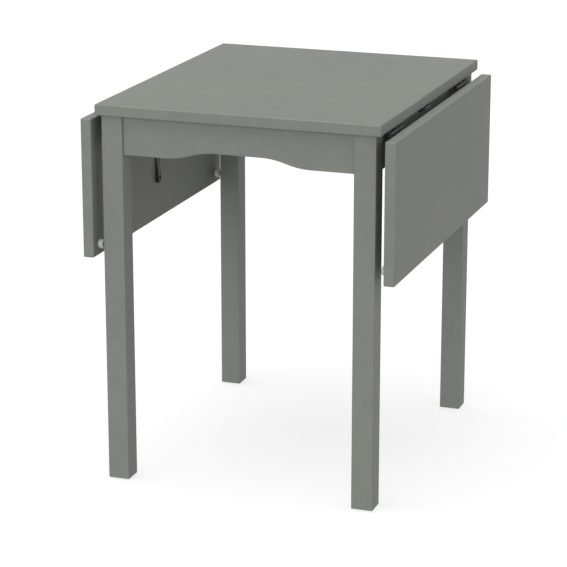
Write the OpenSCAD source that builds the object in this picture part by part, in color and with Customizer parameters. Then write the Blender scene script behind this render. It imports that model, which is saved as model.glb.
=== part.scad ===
// Drop-leaf table: a fixed top on four legs, with a hinged leaf hanging on each side and a
// pull-out bar under each leaf. Millimetres, +Z up, origin on the floor under the middle of
// the top. The front is -Y, and the leaves hang at -X and +X.

/* [Table] */
// Height of the top surface above the floor
table_h = 750; // [700:5:780]
// Width of the fixed top, from hinge line to hinge line
top_w = 563; // [520:1:640]
// Depth of the top and of the leaves, front to rear
top_d = 674; // [600:1:760]
// Thickness of the top and of the leaves
board_t = 21.5; // [18:0.5:28]
// Radius of the eased board edges
edge_r = 2.5; // [1:0.5:4]

/* [Leaves] */
// Length of a leaf, from its hinged edge to its free edge
leaf_l = 271; // [240:1:300]
// Gap between the top and a raised leaf
leaf_gap = 1.6; // [1:0.1:3]
// Distance of the hinge pin below the underside of the top
pin_drop = 7; // [6.5:0.1:8]

/* [Legs and aprons] */
// Side of the square legs
leg_a = 42.5; // [36:0.5:50]
// How far the legs stand in from the side edges of the top
inset_x = 10.5; // [6:0.5:16]
// How far the legs stand in from the front and rear edges of the top
inset_y = 7.5; // [4:0.5:14]
// Height of the foot glides under the legs
glide_h = 2.5; // [2:0.5:5]
// Height of the aprons where they meet the legs
apron_h = 75; // [70:1:90]
// Height of the front and rear aprons at mid-length
apron_mid_h = 59; // [50:1:70]
// Thickness of the aprons
apron_t = 18; // [16:1:22]
// How far the aprons stand back from the outer faces of the legs
apron_back = 5; // [2:0.5:8]

/* [Hardware] */
// Offset of the hinges and bars from mid-depth
hardware_y = -20; // [-21:1:20]
// Distance between the two hinges of a leaf
hinge_pitch = 450; // [380:1:450]
// Length of a hinge along its pin
hinge_l = 78; // [60:1:80]
// Radius of the hinge pins
pin_r = 2; // [1.5:0.1:2.5]
// Width of a support bar
bar_w = 26; // [20:1:30]
// Thickness of a support bar
bar_t = 6; // [5:0.1:6]
// Length of a support bar
bar_l = 275; // [260:1:278]
// How far a support bar pulls out
bar_travel = 156; // [120:1:156]

/* [Hidden] */
$fn = 48;
EPS = 0.01;
under_z = table_h - board_t;         // underside of the top
half_w = top_w / 2;
half_d = top_d / 2;
leg_out_x = half_w - inset_x;        // outer faces of the legs
leg_out_y = half_d - inset_y;
leg_in_x = leg_out_x - leg_a;        // inner faces of the legs
leg_in_y = leg_out_y - leg_a;
apron_out_x = leg_out_x - apron_back;
apron_out_y = leg_out_y - apron_back;
apron_in_x = apron_out_x - apron_t;
apron_in_y = apron_out_y - apron_t;
pin_x = half_w + leaf_gap / 2;       // hinge axis of the right leaf
pin_z = under_z - pin_drop;
leaf_in_x = pin_x + pin_drop;        // inner face of the hanging right leaf
leaf_top_z = pin_z - leaf_gap / 2;

// Scallop of the front and rear aprons: flat to arch_flat, full height from arch_end
arch_flat = 45;
arch_end = 145;

// Fasteners
screw_r = 2;                         // wood screw shank
pilot_r = screw_r + 0.05;            // the hole that it fills
head_r = 3.8;
head_h = 2.2;
hole_spare = 0.3;                    // a pilot hole is deeper than its screw
plate_screw_l = 13.5;
bracket_screw_l = 14;
guide_screw_l = 15;
bolt_r = 4;                          // M8 hanger bolt
bolt_in_leg = 28;
bolt_free = 12;                      // beyond the corner plate
washer_r = 8;
washer_t = 1.6;
nut_r = 7.5;                         // over the corners
nut_h = 6.5;
dowel_r = 4;
dowel_l = 35;
dowel_drops = [12, 62];              // below the underside of the top

// Foot glides
glide_r = 14;
glide_stem_r = 2.5;
glide_stem_l = 14;

// Angle brackets between the aprons and the top
bracket_arm = 22;
bracket_w = 20;
bracket_t = 2;
bracket_hole = 13;                   // from the corner of the bracket
bracket_x = [-110, 110];
bracket_y = [-130, 90];

// Corner plates, in distances from the inner faces of two aprons
plate_t = 2.5;
plate_h = 60;
plate_top = 6;                       // below the underside of the top
plate_cut = 58;                      // where the diagonal meets an apron
plate_end = 84;
bolt_drops = [25, 47];               // below the underside of the top
plate_screw_drops = [20, 52];
plate_screw_at = 72;

// Hinges
hinge_t = 2.4;
hinge_w = 42;
barrel_r = 4.3;
knuckles = 5;
knuckle_gap = 0.3;
knuckle_l = hinge_l / knuckles;
hinge_screws = [[-27, 30], [0, 18], [27, 30]];   // along the pin, away from the pin
hinge_screw_l = 15;

// Support bars, their sleeves, guides and knobs
bar_top = 0.8;                       // below the underside of the top
bar_tip_x = half_w - 1;
bar_taper = 40;
bar_tip_drop = 4;
bar_fit = 0.4;
knob_r = 8;
knob_h = 16;
knob_in = 12;                        // from the inner end of the bar
guide_l = 18;
guide_x = bar_tip_x - bar_l + bar_travel + knob_in + knob_r + 0.5;
guide_floor = 3.4;
sleeve_l = 30;
sleeve_wall = 3.1;
flange_t = 4;
flange_w = 52;
flange_h = 14;
sleeve_top_gap = 0.3;
slot_fit = 0.3;
bar_floor = bar_top + bar_t + bar_fit;   // inside floor of sleeves and guides
channel_half = bar_w / 2 + bar_fit;
saddle_wall = 4;
ear_reach = 17;                      // beyond the inside wall of the guide
ear_t = 3;
ear_screw = 13;                      // beyond the edge of the bar
knob_neck_r = 5.5;
knob_bore_l = 12;

// Notches in the side aprons, around the hinge plates and the sleeve
notch_side = 1;
notch_under = 0.4;
sleeve_under = 0.5;

// Levelling wedges under the leaves, measured from the hinge pin
wedge_w = 14;
wedge_from = 115;
wedge_to = 195;
wedge_thin = 0.4;
wedge_thick = 8.4;
wedge_screws = [150, 184];
wedge_screw_in = 11.5;               // into the leaf
wedge_seat = 1.5;                    // head of the screw above the leaf
wedge_head_h = 1.6;

// Bumpers on the inner faces of the leaves, beside the legs
bumper_r = 9;
bumper_y = leg_out_y - leg_a / 2;
bumper_up = 22;                      // above the free edge of the leaf
bumper_l = 10;
bumper_seat = 4;                     // floor of the well for its screw
bumper_screw_in = 12.5;              // into the leaf
bumper_well_r = head_r + 0.8;

LEFT = -1;
RIGHT = 1;
FRONT = -1;
REAR = 1;
SIDES = [LEFT, RIGHT];
ENDS = [FRONT, REAR];
paint = [0.50, 0.51, 0.48];
black = [0.10, 0.10, 0.10];
zinc = [0.72, 0.73, 0.74];

function hinge_y(end) = hardware_y + end * hinge_pitch / 2;

// ---- helpers ----

// Everything is drawn for the right side and the front, and mirrored to the others
module on_side(side) {
    mirror([side < 0 ? 1 : 0, 0, 0]) children();
}

module on_corner(side, end) {
    mirror([side < 0 ? 1 : 0, 0, 0]) mirror([0, end > 0 ? 1 : 0, 0]) children();
}

// A rectangle with round corners
module rounded_rect(w, d, r) {
    square([w - 2 * r, d], center = true);
    square([w, d - 2 * r], center = true);
    for (x = [-1, 1], y = [-1, 1])
        translate([x * (w / 2 - r), y * (d / 2 - r)]) circle(r);
}

// A board from one corner to the opposite one, with all edges eased
module board(low, high, r) {
    size = high - low;
    translate((low + high) / 2) intersection() {
        linear_extrude(size[2], center = true) rounded_rect(size[0], size[1], r);
        rotate([90, 0, 0]) linear_extrude(size[1], center = true) rounded_rect(size[0], size[2], r);
        rotate([90, 0, 90]) linear_extrude(size[0], center = true) rounded_rect(size[1], size[2], r);
    }
}

module block(low, high) {
    translate(low) cube(high - low);
}

// Flat-headed screw, head at the origin, pointing along +Z
module countersunk_screw(l) {
    cylinder(r1 = head_r, r2 = screw_r, h = head_h);
    translate([0, 0, head_h - EPS]) cylinder(r = screw_r, h = l - head_h + EPS);
}

// The hole that a flat-headed screw fills
module countersunk_hole(l) {
    translate([0, 0, -1]) cylinder(r = head_r + 0.05, h = 1);
    cylinder(r1 = head_r + 0.05, r2 = pilot_r, h = head_h);
    cylinder(r = pilot_r, h = l + hole_spare);
}

// Round-headed screw: the head stands behind the origin, the shank points along +Z
module pan_screw(l) {
    translate([0, 0, -head_h]) intersection() {
        cylinder(r = head_r, h = head_h);
        translate([0, 0, 5]) sphere(r = 6);
    }
    translate([0, 0, -EPS]) cylinder(r = screw_r, h = l + EPS);
}

module pan_hole(l) {
    translate([0, 0, -EPS]) cylinder(r = pilot_r, h = l + hole_spare + EPS);
}

// ---- positions of the fasteners ----

// Screws that hold the hinge plates under the top
module at_plate_screws(side) {
    on_side(side)
        for (end = ENDS, s = hinge_screws)
            translate([pin_x - s[1], hinge_y(end) + s[0], under_z - hinge_t]) children();
}

// Screws that hold the hinge flaps to the inner face of the leaf
module at_flap_screws(side) {
    on_side(side)
        for (end = ENDS, s = hinge_screws)
            translate([leaf_in_x - hinge_t, hinge_y(end) + s[0], pin_z - s[1]])
                rotate([0, 90, 0]) children();
}

// Screws that hold a bar guide under the top
module at_guide_screws(side) {
    on_side(side)
        for (y = [-1, 1])
            translate([guide_x + guide_l / 2, hardware_y + y * (bar_w / 2 + ear_screw), under_z - ear_t])
                children();
}

// Brackets between the aprons and the top; the corner of each is at the origin, and it
// reaches along +X under the top and down the apron
module at_brackets() {
    for (end = ENDS, x = bracket_x)
        translate([x, end * apron_in_y, under_z]) rotate([0, 0, end < 0 ? 90 : -90]) children();
    for (side = SIDES, y = bracket_y)
        translate([side * apron_in_x, y, under_z]) rotate([0, 0, side < 0 ? 0 : 180]) children();
}

module at_bracket_top_screws() {
    at_brackets() translate([bracket_hole, 0, -bracket_t]) children();
}

module at_bracket_apron_screws() {
    at_brackets() translate([bracket_t, 0, -bracket_hole]) rotate([0, -90, 0]) children();
}

// The diagonal bolts of one leg, pointing from the leg into the frame
module at_bolts(side, end) {
    on_corner(side, end)
        for (drop = bolt_drops)
            translate([leg_in_x, -leg_in_y, under_z - drop]) rotate([0, 90, 135]) children();
}

// Screws of one corner plate, pointing into the aprons
module at_corner_screws(side, end) {
    on_corner(side, end)
        for (drop = plate_screw_drops) {
            translate([apron_in_x - plate_screw_at, -apron_in_y + plate_t, under_z - drop])
                rotate([90, 0, 0]) children();
            translate([apron_in_x - plate_t, -apron_in_y + plate_screw_at, under_z - drop])
                rotate([0, 90, 0]) children();
        }
}

// Dowels between the leg and the two aprons of one corner, along +Z, centred on the joint
module at_dowels(side, end) {
    on_corner(side, end)
        for (drop = dowel_drops) {
            translate([leg_in_x, -apron_out_y + apron_t / 2, under_z - drop])
                rotate([0, 90, 0]) children();
            translate([apron_out_x - apron_t / 2, -leg_in_y, under_z - drop])
                rotate([90, 0, 0]) children();
        }
}

module dowel_holes() {
    for (side = SIDES, end = ENDS)
        at_dowels(side, end) cylinder(r = dowel_r + 0.05, h = dowel_l + 1, center = true);
}

module at_bumpers(side) {
    on_side(side)
        for (end = ENDS)
            translate([leaf_in_x, end * bumper_y, leaf_top_z - leaf_l + bumper_up])
                rotate([0, -90, 0]) children();
}

// ---- top and frame ----

module table_top() {
    color(paint) difference() {
        board([-half_w, -half_d, under_z], [half_w, half_d, table_h], edge_r);
        for (side = SIDES) {
            at_plate_screws(side) cylinder(r = pilot_r, h = hinge_screw_l + hole_spare);
            at_guide_screws(side) pan_hole(guide_screw_l);
        }
        at_bracket_top_screws() pan_hole(bracket_screw_l);
    }
}

// Outline of a scalloped apron: x along the apron, y up to its top edge at 0. Two equal arcs
// meet in each S-curve.
module scalloped_outline(half_l) {
    rise = apron_h - apron_mid_h;
    run = arch_end - arch_flat;
    r = (run * run + rise * rise) / (4 * rise);
    mid = (arch_flat + arch_end) / 2;
    difference() {
        translate([-half_l, -apron_h]) square([2 * half_l, apron_h]);
        // the flat middle
        translate([-arch_flat, -apron_h - 1]) square([2 * arch_flat, rise + 1]);
        for (s = [-1, 1]) mirror([s < 0 ? 1 : 0, 0]) {
            // inner half of the S: hollow arc
            intersection() {
                translate([arch_flat - EPS, -apron_h - 1]) square([run / 2 + EPS, rise + 1]);
                translate([arch_flat, -apron_mid_h - r]) circle(r, $fn = 360);
            }
            // outer half of the S: round arc
            difference() {
                translate([mid - EPS, -apron_h - 1]) square([run / 2 + EPS, rise / 2 + 1]);
                translate([arch_end, -apron_h + r]) circle(r, $fn = 360);
            }
        }
    }
}

module end_apron(end) {
    color(paint) difference() {
        translate([0, end * (apron_out_y - apron_t / 2) + apron_t / 2, under_z])
            rotate([90, 0, 0]) linear_extrude(apron_t) scalloped_outline(leg_in_x);
        dowel_holes();
        for (side = SIDES) at_corner_screws(side, end) pan_hole(plate_screw_l);
        at_bracket_apron_screws() pan_hole(bracket_screw_l);
    }
}

module side_apron(side) {
    slot_half = channel_half + sleeve_wall + slot_fit;
    notch_half = hinge_l / 2 + notch_side;
    color(paint) difference() {
        on_side(side) difference() {
            block([apron_in_x, -leg_in_y, under_z - apron_h], [apron_out_x, leg_in_y, under_z]);
            // shallow notches that let the hinge plates pass
            for (end = ENDS)
                block([apron_in_x - 1, hinge_y(end) - notch_half, under_z - hinge_t - notch_under],
                    [apron_out_x + 1, hinge_y(end) + notch_half, under_z + 1]);
            // notch for the bar sleeve
            block([apron_in_x - 1, hardware_y - slot_half, under_z - bar_floor - guide_floor - sleeve_under],
                [apron_out_x + 1, hardware_y + slot_half, under_z + 1]);
        }
        dowel_holes();
        for (end = ENDS) at_corner_screws(side, end) pan_hole(plate_screw_l);
        at_bracket_apron_screws() pan_hole(bracket_screw_l);
    }
}

module leg(side, end) {
    color(paint) difference() {
        translate([side * (leg_out_x - leg_a / 2), end * (leg_out_y - leg_a / 2), glide_h])
            linear_extrude(under_z - glide_h) rounded_rect(leg_a, leg_a, 2);
        at_dowels(side, end) cylinder(r = dowel_r + 0.05, h = dowel_l + 1, center = true);
        at_bolts(side, end) translate([0, 0, -bolt_in_leg - 1])
            cylinder(r = bolt_r + 0.05, h = bolt_in_leg + 12);
        translate([side * (leg_out_x - leg_a / 2), end * (leg_out_y - leg_a / 2), 0])
            cylinder(r = glide_stem_r + 0.05, h = glide_h + glide_stem_l + 0.5);
    }
}

// Bent steel plate across a corner of the frame, bolted to the leg and screwed to two aprons
module corner_plate(side, end) {
    step = plate_t * sqrt(2) - plate_t;
    color(zinc) difference() {
        on_corner(side, end)
            translate([apron_in_x, -apron_in_y, under_z - plate_top - plate_h])
                mirror([1, 0, 0]) linear_extrude(plate_h) polygon([
                    [plate_end, 0], [plate_cut, 0], [0, plate_cut], [0, plate_end],
                    [plate_t, plate_end], [plate_t, plate_cut + step],
                    [plate_cut + step, plate_t], [plate_end, plate_t]]);
        at_bolts(side, end) cylinder(r = bolt_r + 0.5, h = 30);
        at_corner_screws(side, end) translate([0, 0, -1]) cylinder(r = pilot_r, h = 5);
    }
}

// Distance along a bolt from the leg's corner to the inside of the corner plate
plate_reach = (plate_cut - 2 * (apron_in_x - leg_in_x)) / sqrt(2) + plate_t;

module hanger_bolts() {
    color(zinc)
        for (side = SIDES, end = ENDS)
            at_bolts(side, end) translate([0, 0, -bolt_in_leg])
                cylinder(r = bolt_r, h = bolt_in_leg + plate_reach + bolt_free);
}

module hanger_washers() {
    color(zinc)
        for (side = SIDES, end = ENDS)
            at_bolts(side, end) translate([0, 0, plate_reach]) difference() {
                cylinder(r = washer_r, h = washer_t);
                translate([0, 0, -1]) cylinder(r = bolt_r + 0.2, h = 4);
            }
}

module hanger_nuts() {
    color(zinc)
        for (side = SIDES, end = ENDS)
            at_bolts(side, end) translate([0, 0, plate_reach + washer_t]) difference() {
                cylinder(r = nut_r, h = nut_h, $fn = 6);
                translate([0, 0, -1]) cylinder(r = bolt_r + 0.03, h = nut_h + 2);
            }
}

module corner_screws() {
    color(zinc)
        for (side = SIDES, end = ENDS) at_corner_screws(side, end) pan_screw(plate_screw_l);
}

module apron_dowels() {
    color([0.80, 0.66, 0.46])
        for (side = SIDES, end = ENDS)
            at_dowels(side, end) cylinder(r = dowel_r, h = dowel_l, center = true);
}

module top_brackets() {
    color(zinc) at_brackets() difference() {
        union() {
            block([0, -bracket_w / 2, -bracket_t], [bracket_arm, bracket_w / 2, 0]);
            block([0, -bracket_w / 2, -bracket_arm], [bracket_t, bracket_w / 2, 0]);
        }
        translate([bracket_hole, 0, -bracket_t - 1]) cylinder(r = pilot_r, h = bracket_t + 2);
        translate([-1, 0, -bracket_hole]) rotate([0, 90, 0]) cylinder(r = pilot_r, h = bracket_t + 2);
    }
}

module top_bracket_screws() {
    color(zinc) {
        at_bracket_top_screws() pan_screw(bracket_screw_l);
        at_bracket_apron_screws() pan_screw(bracket_screw_l);
    }
}

// Plastic glides, each with a stem pressed into the end of its leg
module foot_glides() {
    color(black)
        for (x = [-1, 1], y = [-1, 1])
            translate([x * (leg_out_x - leg_a / 2), y * (leg_out_y - leg_a / 2), 0])
                rotate_extrude() polygon([
                    [0, 0], [glide_r - 1, 0], [glide_r, 1], [glide_r, glide_h], [glide_stem_r, glide_h],
                    [glide_stem_r, glide_h + glide_stem_l], [0, glide_h + glide_stem_l]]);
}

// ---- hinges ----

// Half of a hinge: a plate of width hinge_w and every second knuckle, in the hinge's own
// frame. The pin runs along Y at the origin, the plate lies at +Z and reaches along -X.
module hinge_half(first) {
    difference() {
        union() {
            block([-hinge_w, -hinge_l / 2, pin_drop - hinge_t], [-leaf_gap / 2 - 0.4, hinge_l / 2, pin_drop]);
            for (i = [first : 2 : knuckles - 1])
                translate([0, -hinge_l / 2 + i * knuckle_l + knuckle_gap / 2, 0]) {
                    rotate([-90, 0, 0]) cylinder(r = barrel_r, h = knuckle_l - knuckle_gap);
                    block([-barrel_r, 0, 0],
                        [-leaf_gap / 2 - 0.4, knuckle_l - knuckle_gap, pin_drop - hinge_t + EPS]);
                }
        }
        rotate([90, 0, 0]) cylinder(r = pin_r + (first == 0 ? 0.02 : 0.06), h = hinge_l + 2, center = true);
        for (s = hinge_screws)
            translate([-s[1], s[0], pin_drop - hinge_t]) countersunk_hole(5);
    }
}

module hinge_plate(side, end) {
    color(black) on_side(side) translate([pin_x, hinge_y(end), pin_z]) hinge_half(0);
}

// The flap turns the other way round and hangs down the leaf
module hinge_flap(side, end) {
    color(black) on_side(side) translate([pin_x, hinge_y(end), pin_z])
        rotate([0, 90, 0]) mirror([1, 0, 0]) hinge_half(1);
}

module hinge_pins() {
    color(zinc)
        for (side = SIDES, end = ENDS)
            on_side(side) translate([pin_x, hinge_y(end), pin_z])
                rotate([90, 0, 0]) cylinder(r = pin_r, h = hinge_l + 1, center = true);
}

module hinge_plate_screws() {
    color(zinc) for (side = SIDES) at_plate_screws(side) countersunk_screw(hinge_screw_l);
}

module hinge_flap_screws(side) {
    color(zinc) at_flap_screws(side) countersunk_screw(hinge_screw_l);
}

// ---- leaves ----

module leaf(side) {
    color(paint) difference() {
        on_side(side)
            board([leaf_in_x, -half_d, leaf_top_z - leaf_l],
                [leaf_in_x + board_t, half_d, leaf_top_z], edge_r);
        at_flap_screws(side) cylinder(r = pilot_r, h = hinge_screw_l + hole_spare);
        at_bumpers(side) translate([0, 0, -bumper_screw_in - 0.5])
            cylinder(r = pilot_r, h = bumper_screw_in + 1.5);
        on_side(side)
            for (u = wedge_screws)
                translate([leaf_in_x, hardware_y, pin_z - u]) rotate([0, 90, 0])
                    translate([0, 0, -1]) cylinder(r = pilot_r, h = wedge_screw_in + 1.5);
    }
}

// Tapered block that the bar slides under, thicker away from the hinge
module wedge(side) {
    color(black) on_side(side) difference() {
        translate([leaf_in_x, hardware_y + wedge_w / 2, pin_z]) rotate([90, 0, 0])
            linear_extrude(wedge_w) polygon([
                [0, -wedge_from], [-wedge_thin, -wedge_from],
                [-wedge_thick, -wedge_to], [0, -wedge_to]]);
        for (u = wedge_screws) translate([leaf_in_x, hardware_y, pin_z - u]) rotate([0, -90, 0]) {
            translate([0, 0, -1]) cylinder(r = pilot_r, h = 12);
            translate([0, 0, wedge_seat]) cylinder(r = head_r + 0.1, h = 10);
        }
    }
}

module wedge_screws(side) {
    color(zinc) on_side(side)
        for (u = wedge_screws) translate([leaf_in_x, hardware_y, pin_z - u]) rotate([0, -90, 0]) {
            translate([0, 0, -wedge_screw_in]) cylinder(r = screw_r, h = wedge_screw_in + wedge_seat + EPS);
            translate([0, 0, wedge_seat]) cylinder(r = head_r, h = wedge_head_h);
        }
}

// Round stand-off with a recessed screw
module bumpers(side) {
    color([0.78, 0.79, 0.78]) at_bumpers(side) rotate_extrude() polygon([
        [pilot_r, 0], [bumper_r, 0], [bumper_r, bumper_l - 2], [bumper_r - 2, bumper_l],
        [bumper_well_r, bumper_l], [bumper_well_r, bumper_seat], [pilot_r, bumper_seat]]);
}

module bumper_screws(side) {
    color(zinc) at_bumpers(side) {
        translate([0, 0, -bumper_screw_in]) cylinder(r = screw_r, h = bumper_screw_in + bumper_seat + EPS);
        translate([0, 0, bumper_seat]) cylinder(r = head_r, h = head_h);
    }
}

// ---- support bars ----

module support_bar(side) {
    color(zinc) on_side(side) difference() {
        translate([bar_tip_x, hardware_y + bar_w / 2, under_z - bar_top]) rotate([90, 0, 0])
            linear_extrude(bar_w) polygon([
                [-bar_l, 0], [-bar_taper, 0], [0, -bar_tip_drop], [0, -bar_t], [-bar_l, -bar_t]]);
        translate([bar_tip_x - bar_l + knob_in, hardware_y, under_z - bar_top]) rotate([180, 0, 0])
            countersunk_hole(bar_t + 1);
    }
}

module bar_knob(side) {
    color(black) on_side(side)
        translate([bar_tip_x - bar_l + knob_in, hardware_y, under_z - bar_top - bar_t]) rotate([180, 0, 0])
            rotate_extrude() polygon([
                [pilot_r, 0], [knob_neck_r, 0], [knob_neck_r, 4], [knob_r, 7], [knob_r, knob_h - 2],
                [knob_r - 2, knob_h], [0, knob_h], [0, knob_bore_l], [pilot_r, knob_bore_l]]);
}

module knob_screw(side) {
    color(zinc) on_side(side)
        translate([bar_tip_x - bar_l + knob_in, hardware_y, under_z - bar_top]) rotate([180, 0, 0])
            countersunk_screw(bar_t + knob_bore_l - 1);
}

// Plastic sleeve that carries a bar through the side apron, open to the underside of the top
module bar_sleeve(side) {
    wall_y = channel_half + sleeve_wall;
    color(black) on_side(side) translate([apron_out_x, hardware_y, under_z]) difference() {
        union() {
            block([-sleeve_l, -wall_y, -bar_floor - guide_floor], [EPS, wall_y, -sleeve_top_gap]);
            block([0, -flange_w / 2, -flange_h], [flange_t, flange_w / 2, -sleeve_top_gap]);
        }
        block([-sleeve_l - 1, -channel_half, -bar_floor], [flange_t + 1, channel_half, 1]);
    }
}

// Plastic saddle that carries the inner part of a bar
module bar_guide(side) {
    wall_y = channel_half + saddle_wall;
    ear_y = channel_half + ear_reach;
    color(black) difference() {
        on_side(side) translate([guide_x, hardware_y, under_z]) difference() {
            union() {
                block([0, -wall_y, -bar_floor - guide_floor], [guide_l, wall_y, 0]);
                block([0, -ear_y, -ear_t], [guide_l, ear_y, 0]);
            }
            block([-1, -channel_half, -bar_floor], [guide_l + 1, channel_half, 1]);
        }
        at_guide_screws(side) translate([0, 0, -1]) cylinder(r = pilot_r, h = ear_t + 2);
    }
}

module bar_guide_screws() {
    color(zinc) for (side = SIDES) at_guide_screws(side) pan_screw(guide_screw_l);
}

table_top();
end_apron(FRONT);  // apron_front
end_apron(REAR);  // apron_rear
side_apron(LEFT);  // apron_left
side_apron(RIGHT);  // apron_right
leg(LEFT, FRONT);  // leg_front_left
leg(RIGHT, FRONT);  // leg_front_right
leg(LEFT, REAR);  // leg_rear_left
leg(RIGHT, REAR);  // leg_rear_right
corner_plate(LEFT, FRONT);  // corner_plate_front_left
corner_plate(RIGHT, FRONT);  // corner_plate_front_right
corner_plate(LEFT, REAR);  // corner_plate_rear_left
corner_plate(RIGHT, REAR);  // corner_plate_rear_right
hanger_bolts();
hanger_washers();
hanger_nuts();
corner_screws();
apron_dowels();
top_brackets();
top_bracket_screws();
foot_glides();
hinge_plate(LEFT, FRONT);  // hinge_plate_front_left
hinge_plate(LEFT, REAR);  // hinge_plate_rear_left
hinge_plate(RIGHT, FRONT);  // hinge_plate_front_right
hinge_plate(RIGHT, REAR);  // hinge_plate_rear_right
hinge_pins();
hinge_plate_screws();
bar_sleeve(LEFT);  // bar_sleeve_left
bar_sleeve(RIGHT);  // bar_sleeve_right
bar_guide(LEFT);  // bar_guide_left
bar_guide(RIGHT);  // bar_guide_right
bar_guide_screws();
leaf(LEFT);  // leaf_left
hinge_flap(LEFT, FRONT);  // hinge_flap_front_left
hinge_flap(LEFT, REAR);  // hinge_flap_rear_left
hinge_flap_screws(LEFT);  // hinge_flap_screws_left
wedge(LEFT);  // wedge_left
wedge_screws(LEFT);  // wedge_screws_left
bumpers(LEFT);  // bumpers_left
bumper_screws(LEFT);  // bumper_screws_left
leaf(RIGHT);  // leaf_right
hinge_flap(RIGHT, FRONT);  // hinge_flap_front_right
hinge_flap(RIGHT, REAR);  // hinge_flap_rear_right
hinge_flap_screws(RIGHT);  // hinge_flap_screws_right
wedge(RIGHT);  // wedge_right
wedge_screws(RIGHT);  // wedge_screws_right
bumpers(RIGHT);  // bumpers_right
bumper_screws(RIGHT);  // bumper_screws_right
support_bar(LEFT);  // support_bar_left
bar_knob(LEFT);  // bar_knob_left
knob_screw(LEFT);  // knob_screw_left
support_bar(RIGHT);  // support_bar_right
bar_knob(RIGHT);  // bar_knob_right
knob_screw(RIGHT);  // knob_screw_right
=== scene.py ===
"""A drop-leaf table: fixed top, four square legs, two hanging leaves and pull-out bars."""

from __future__ import annotations

import logging
import math
from abc import ABC, abstractmethod
from dataclasses import dataclass
from enum import Enum
from typing import Any, Callable, Iterable, Mapping, Optional, Sequence, Union

import bmesh
import bpy
from mathutils import Matrix, Vector


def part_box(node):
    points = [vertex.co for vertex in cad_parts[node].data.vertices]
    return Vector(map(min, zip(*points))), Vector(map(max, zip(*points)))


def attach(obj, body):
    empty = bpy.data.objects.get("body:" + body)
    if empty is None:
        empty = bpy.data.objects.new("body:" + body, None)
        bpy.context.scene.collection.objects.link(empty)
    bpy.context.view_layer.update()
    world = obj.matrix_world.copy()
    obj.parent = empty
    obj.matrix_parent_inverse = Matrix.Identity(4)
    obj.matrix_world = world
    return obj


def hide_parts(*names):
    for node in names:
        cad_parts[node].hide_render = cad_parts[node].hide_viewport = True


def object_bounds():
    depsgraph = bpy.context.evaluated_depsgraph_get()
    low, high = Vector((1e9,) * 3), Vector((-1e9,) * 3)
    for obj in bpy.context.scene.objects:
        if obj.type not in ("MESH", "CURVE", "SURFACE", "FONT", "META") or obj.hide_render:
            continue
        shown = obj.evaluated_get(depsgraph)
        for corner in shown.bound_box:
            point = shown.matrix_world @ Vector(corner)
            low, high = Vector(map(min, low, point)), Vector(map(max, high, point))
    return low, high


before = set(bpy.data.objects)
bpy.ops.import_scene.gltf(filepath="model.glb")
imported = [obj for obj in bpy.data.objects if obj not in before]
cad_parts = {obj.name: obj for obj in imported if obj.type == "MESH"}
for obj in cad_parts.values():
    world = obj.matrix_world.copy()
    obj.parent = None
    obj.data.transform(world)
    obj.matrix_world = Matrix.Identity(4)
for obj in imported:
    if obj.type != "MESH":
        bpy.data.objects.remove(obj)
CAD_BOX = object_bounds()

LOG = logging.getLogger("drop_leaf_table")
MM = 0.001
NEAR = 0.1 * MM
X, Y, Z = range(3)
HOLE_STEPS = 24
CORNER_STEPS = 5
WELD = 1e-7
CAD_WELD = 1e-6
RIM_SHARE = 0.9
SIXTH_TURN = math.pi / 3
MIX_COLOURS = (6, 7)
MIXED_COLOUR = 2
FULL_TURN = 2.0 * math.pi
CREASE = math.radians(50.0)

Colour = tuple[float, float, float]
Profile = tuple[tuple[float, float], ...]
Vert = bmesh.types.BMVert
Edge = bmesh.types.BMEdge
Face = bmesh.types.BMFace


class Side(Enum):
    """A long side of the table, by the sign of its X."""

    LEFT = -1
    RIGHT = 1

    @property
    def word(self) -> str:
        """The side as it stands in names."""
        return self.name.lower()

    @property
    def leaf(self) -> str:
        """The body of the leaf on this side."""
        return f"{self.word}_leaf"


class End(Enum):
    """An end of the table, by the sign of its Y."""

    FRONT = -1
    REAR = 1

    @property
    def word(self) -> str:
        """The end as it stands in names."""
        return self.name.lower()


class Slot(Enum):
    """The record's material slots."""

    PAINT = "painted_wood"
    BEECH = "beech_dowel"
    BLACK_STEEL = "black_steel"
    ZINC = "zinc_steel"
    BAR = "steel_bar"
    PLASTIC = "black_plastic"
    RUBBER = "bumper_rubber"


class Head(Enum):
    """Forms of screw head."""

    PAN = "pan"
    FLAT = "flat"


CORNERS = [(side, end) for side in Side for end in End]


# ---------------------------------------------------------------------------
# Finishes
# ---------------------------------------------------------------------------


class Signal:
    """A shader socket in a sum: each operator adds the Math node that it needs."""

    def __init__(self, graph: "Graph", socket: bpy.types.NodeSocket) -> None:
        """Keeps the socket and the graph that it belongs to."""
        self.graph = graph
        self.socket = socket

    def _sum(self, operation: str, first: Any, second: Any) -> "Signal":
        """One Math node on two values."""
        return self.graph.node("ShaderNodeMath", {"operation": operation}, {0: first, 1: second})

    def __add__(self, other: Any) -> "Signal":
        """This plus the other."""
        return self._sum("ADD", self, other)

    def __radd__(self, other: Any) -> "Signal":
        """The other plus this."""
        return self._sum("ADD", other, self)

    def __sub__(self, other: Any) -> "Signal":
        """This minus the other."""
        return self._sum("SUBTRACT", self, other)

    def __rsub__(self, other: Any) -> "Signal":
        """The other minus this."""
        return self._sum("SUBTRACT", other, self)

    def __mul__(self, other: Any) -> "Signal":
        """This times the other."""
        return self._sum("MULTIPLY", self, other)

    def __rmul__(self, other: Any) -> "Signal":
        """The other times this."""
        return self._sum("MULTIPLY", other, self)

    def ramp(self, low: float, high: float) -> "Signal":
        """A soft step from 0 at low to 1 at high.

        Args:
            low: The value below which the result is 0.
            high: The value above which the result is 1.

        Returns:
            The step, between 0 and 1.
        """
        return self.graph.node(
            "ShaderNodeMapRange",
            {"interpolation_type": "SMOOTHSTEP", "clamp": True},
            {"Value": self, "From Min": low, "From Max": high},
        )


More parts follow.
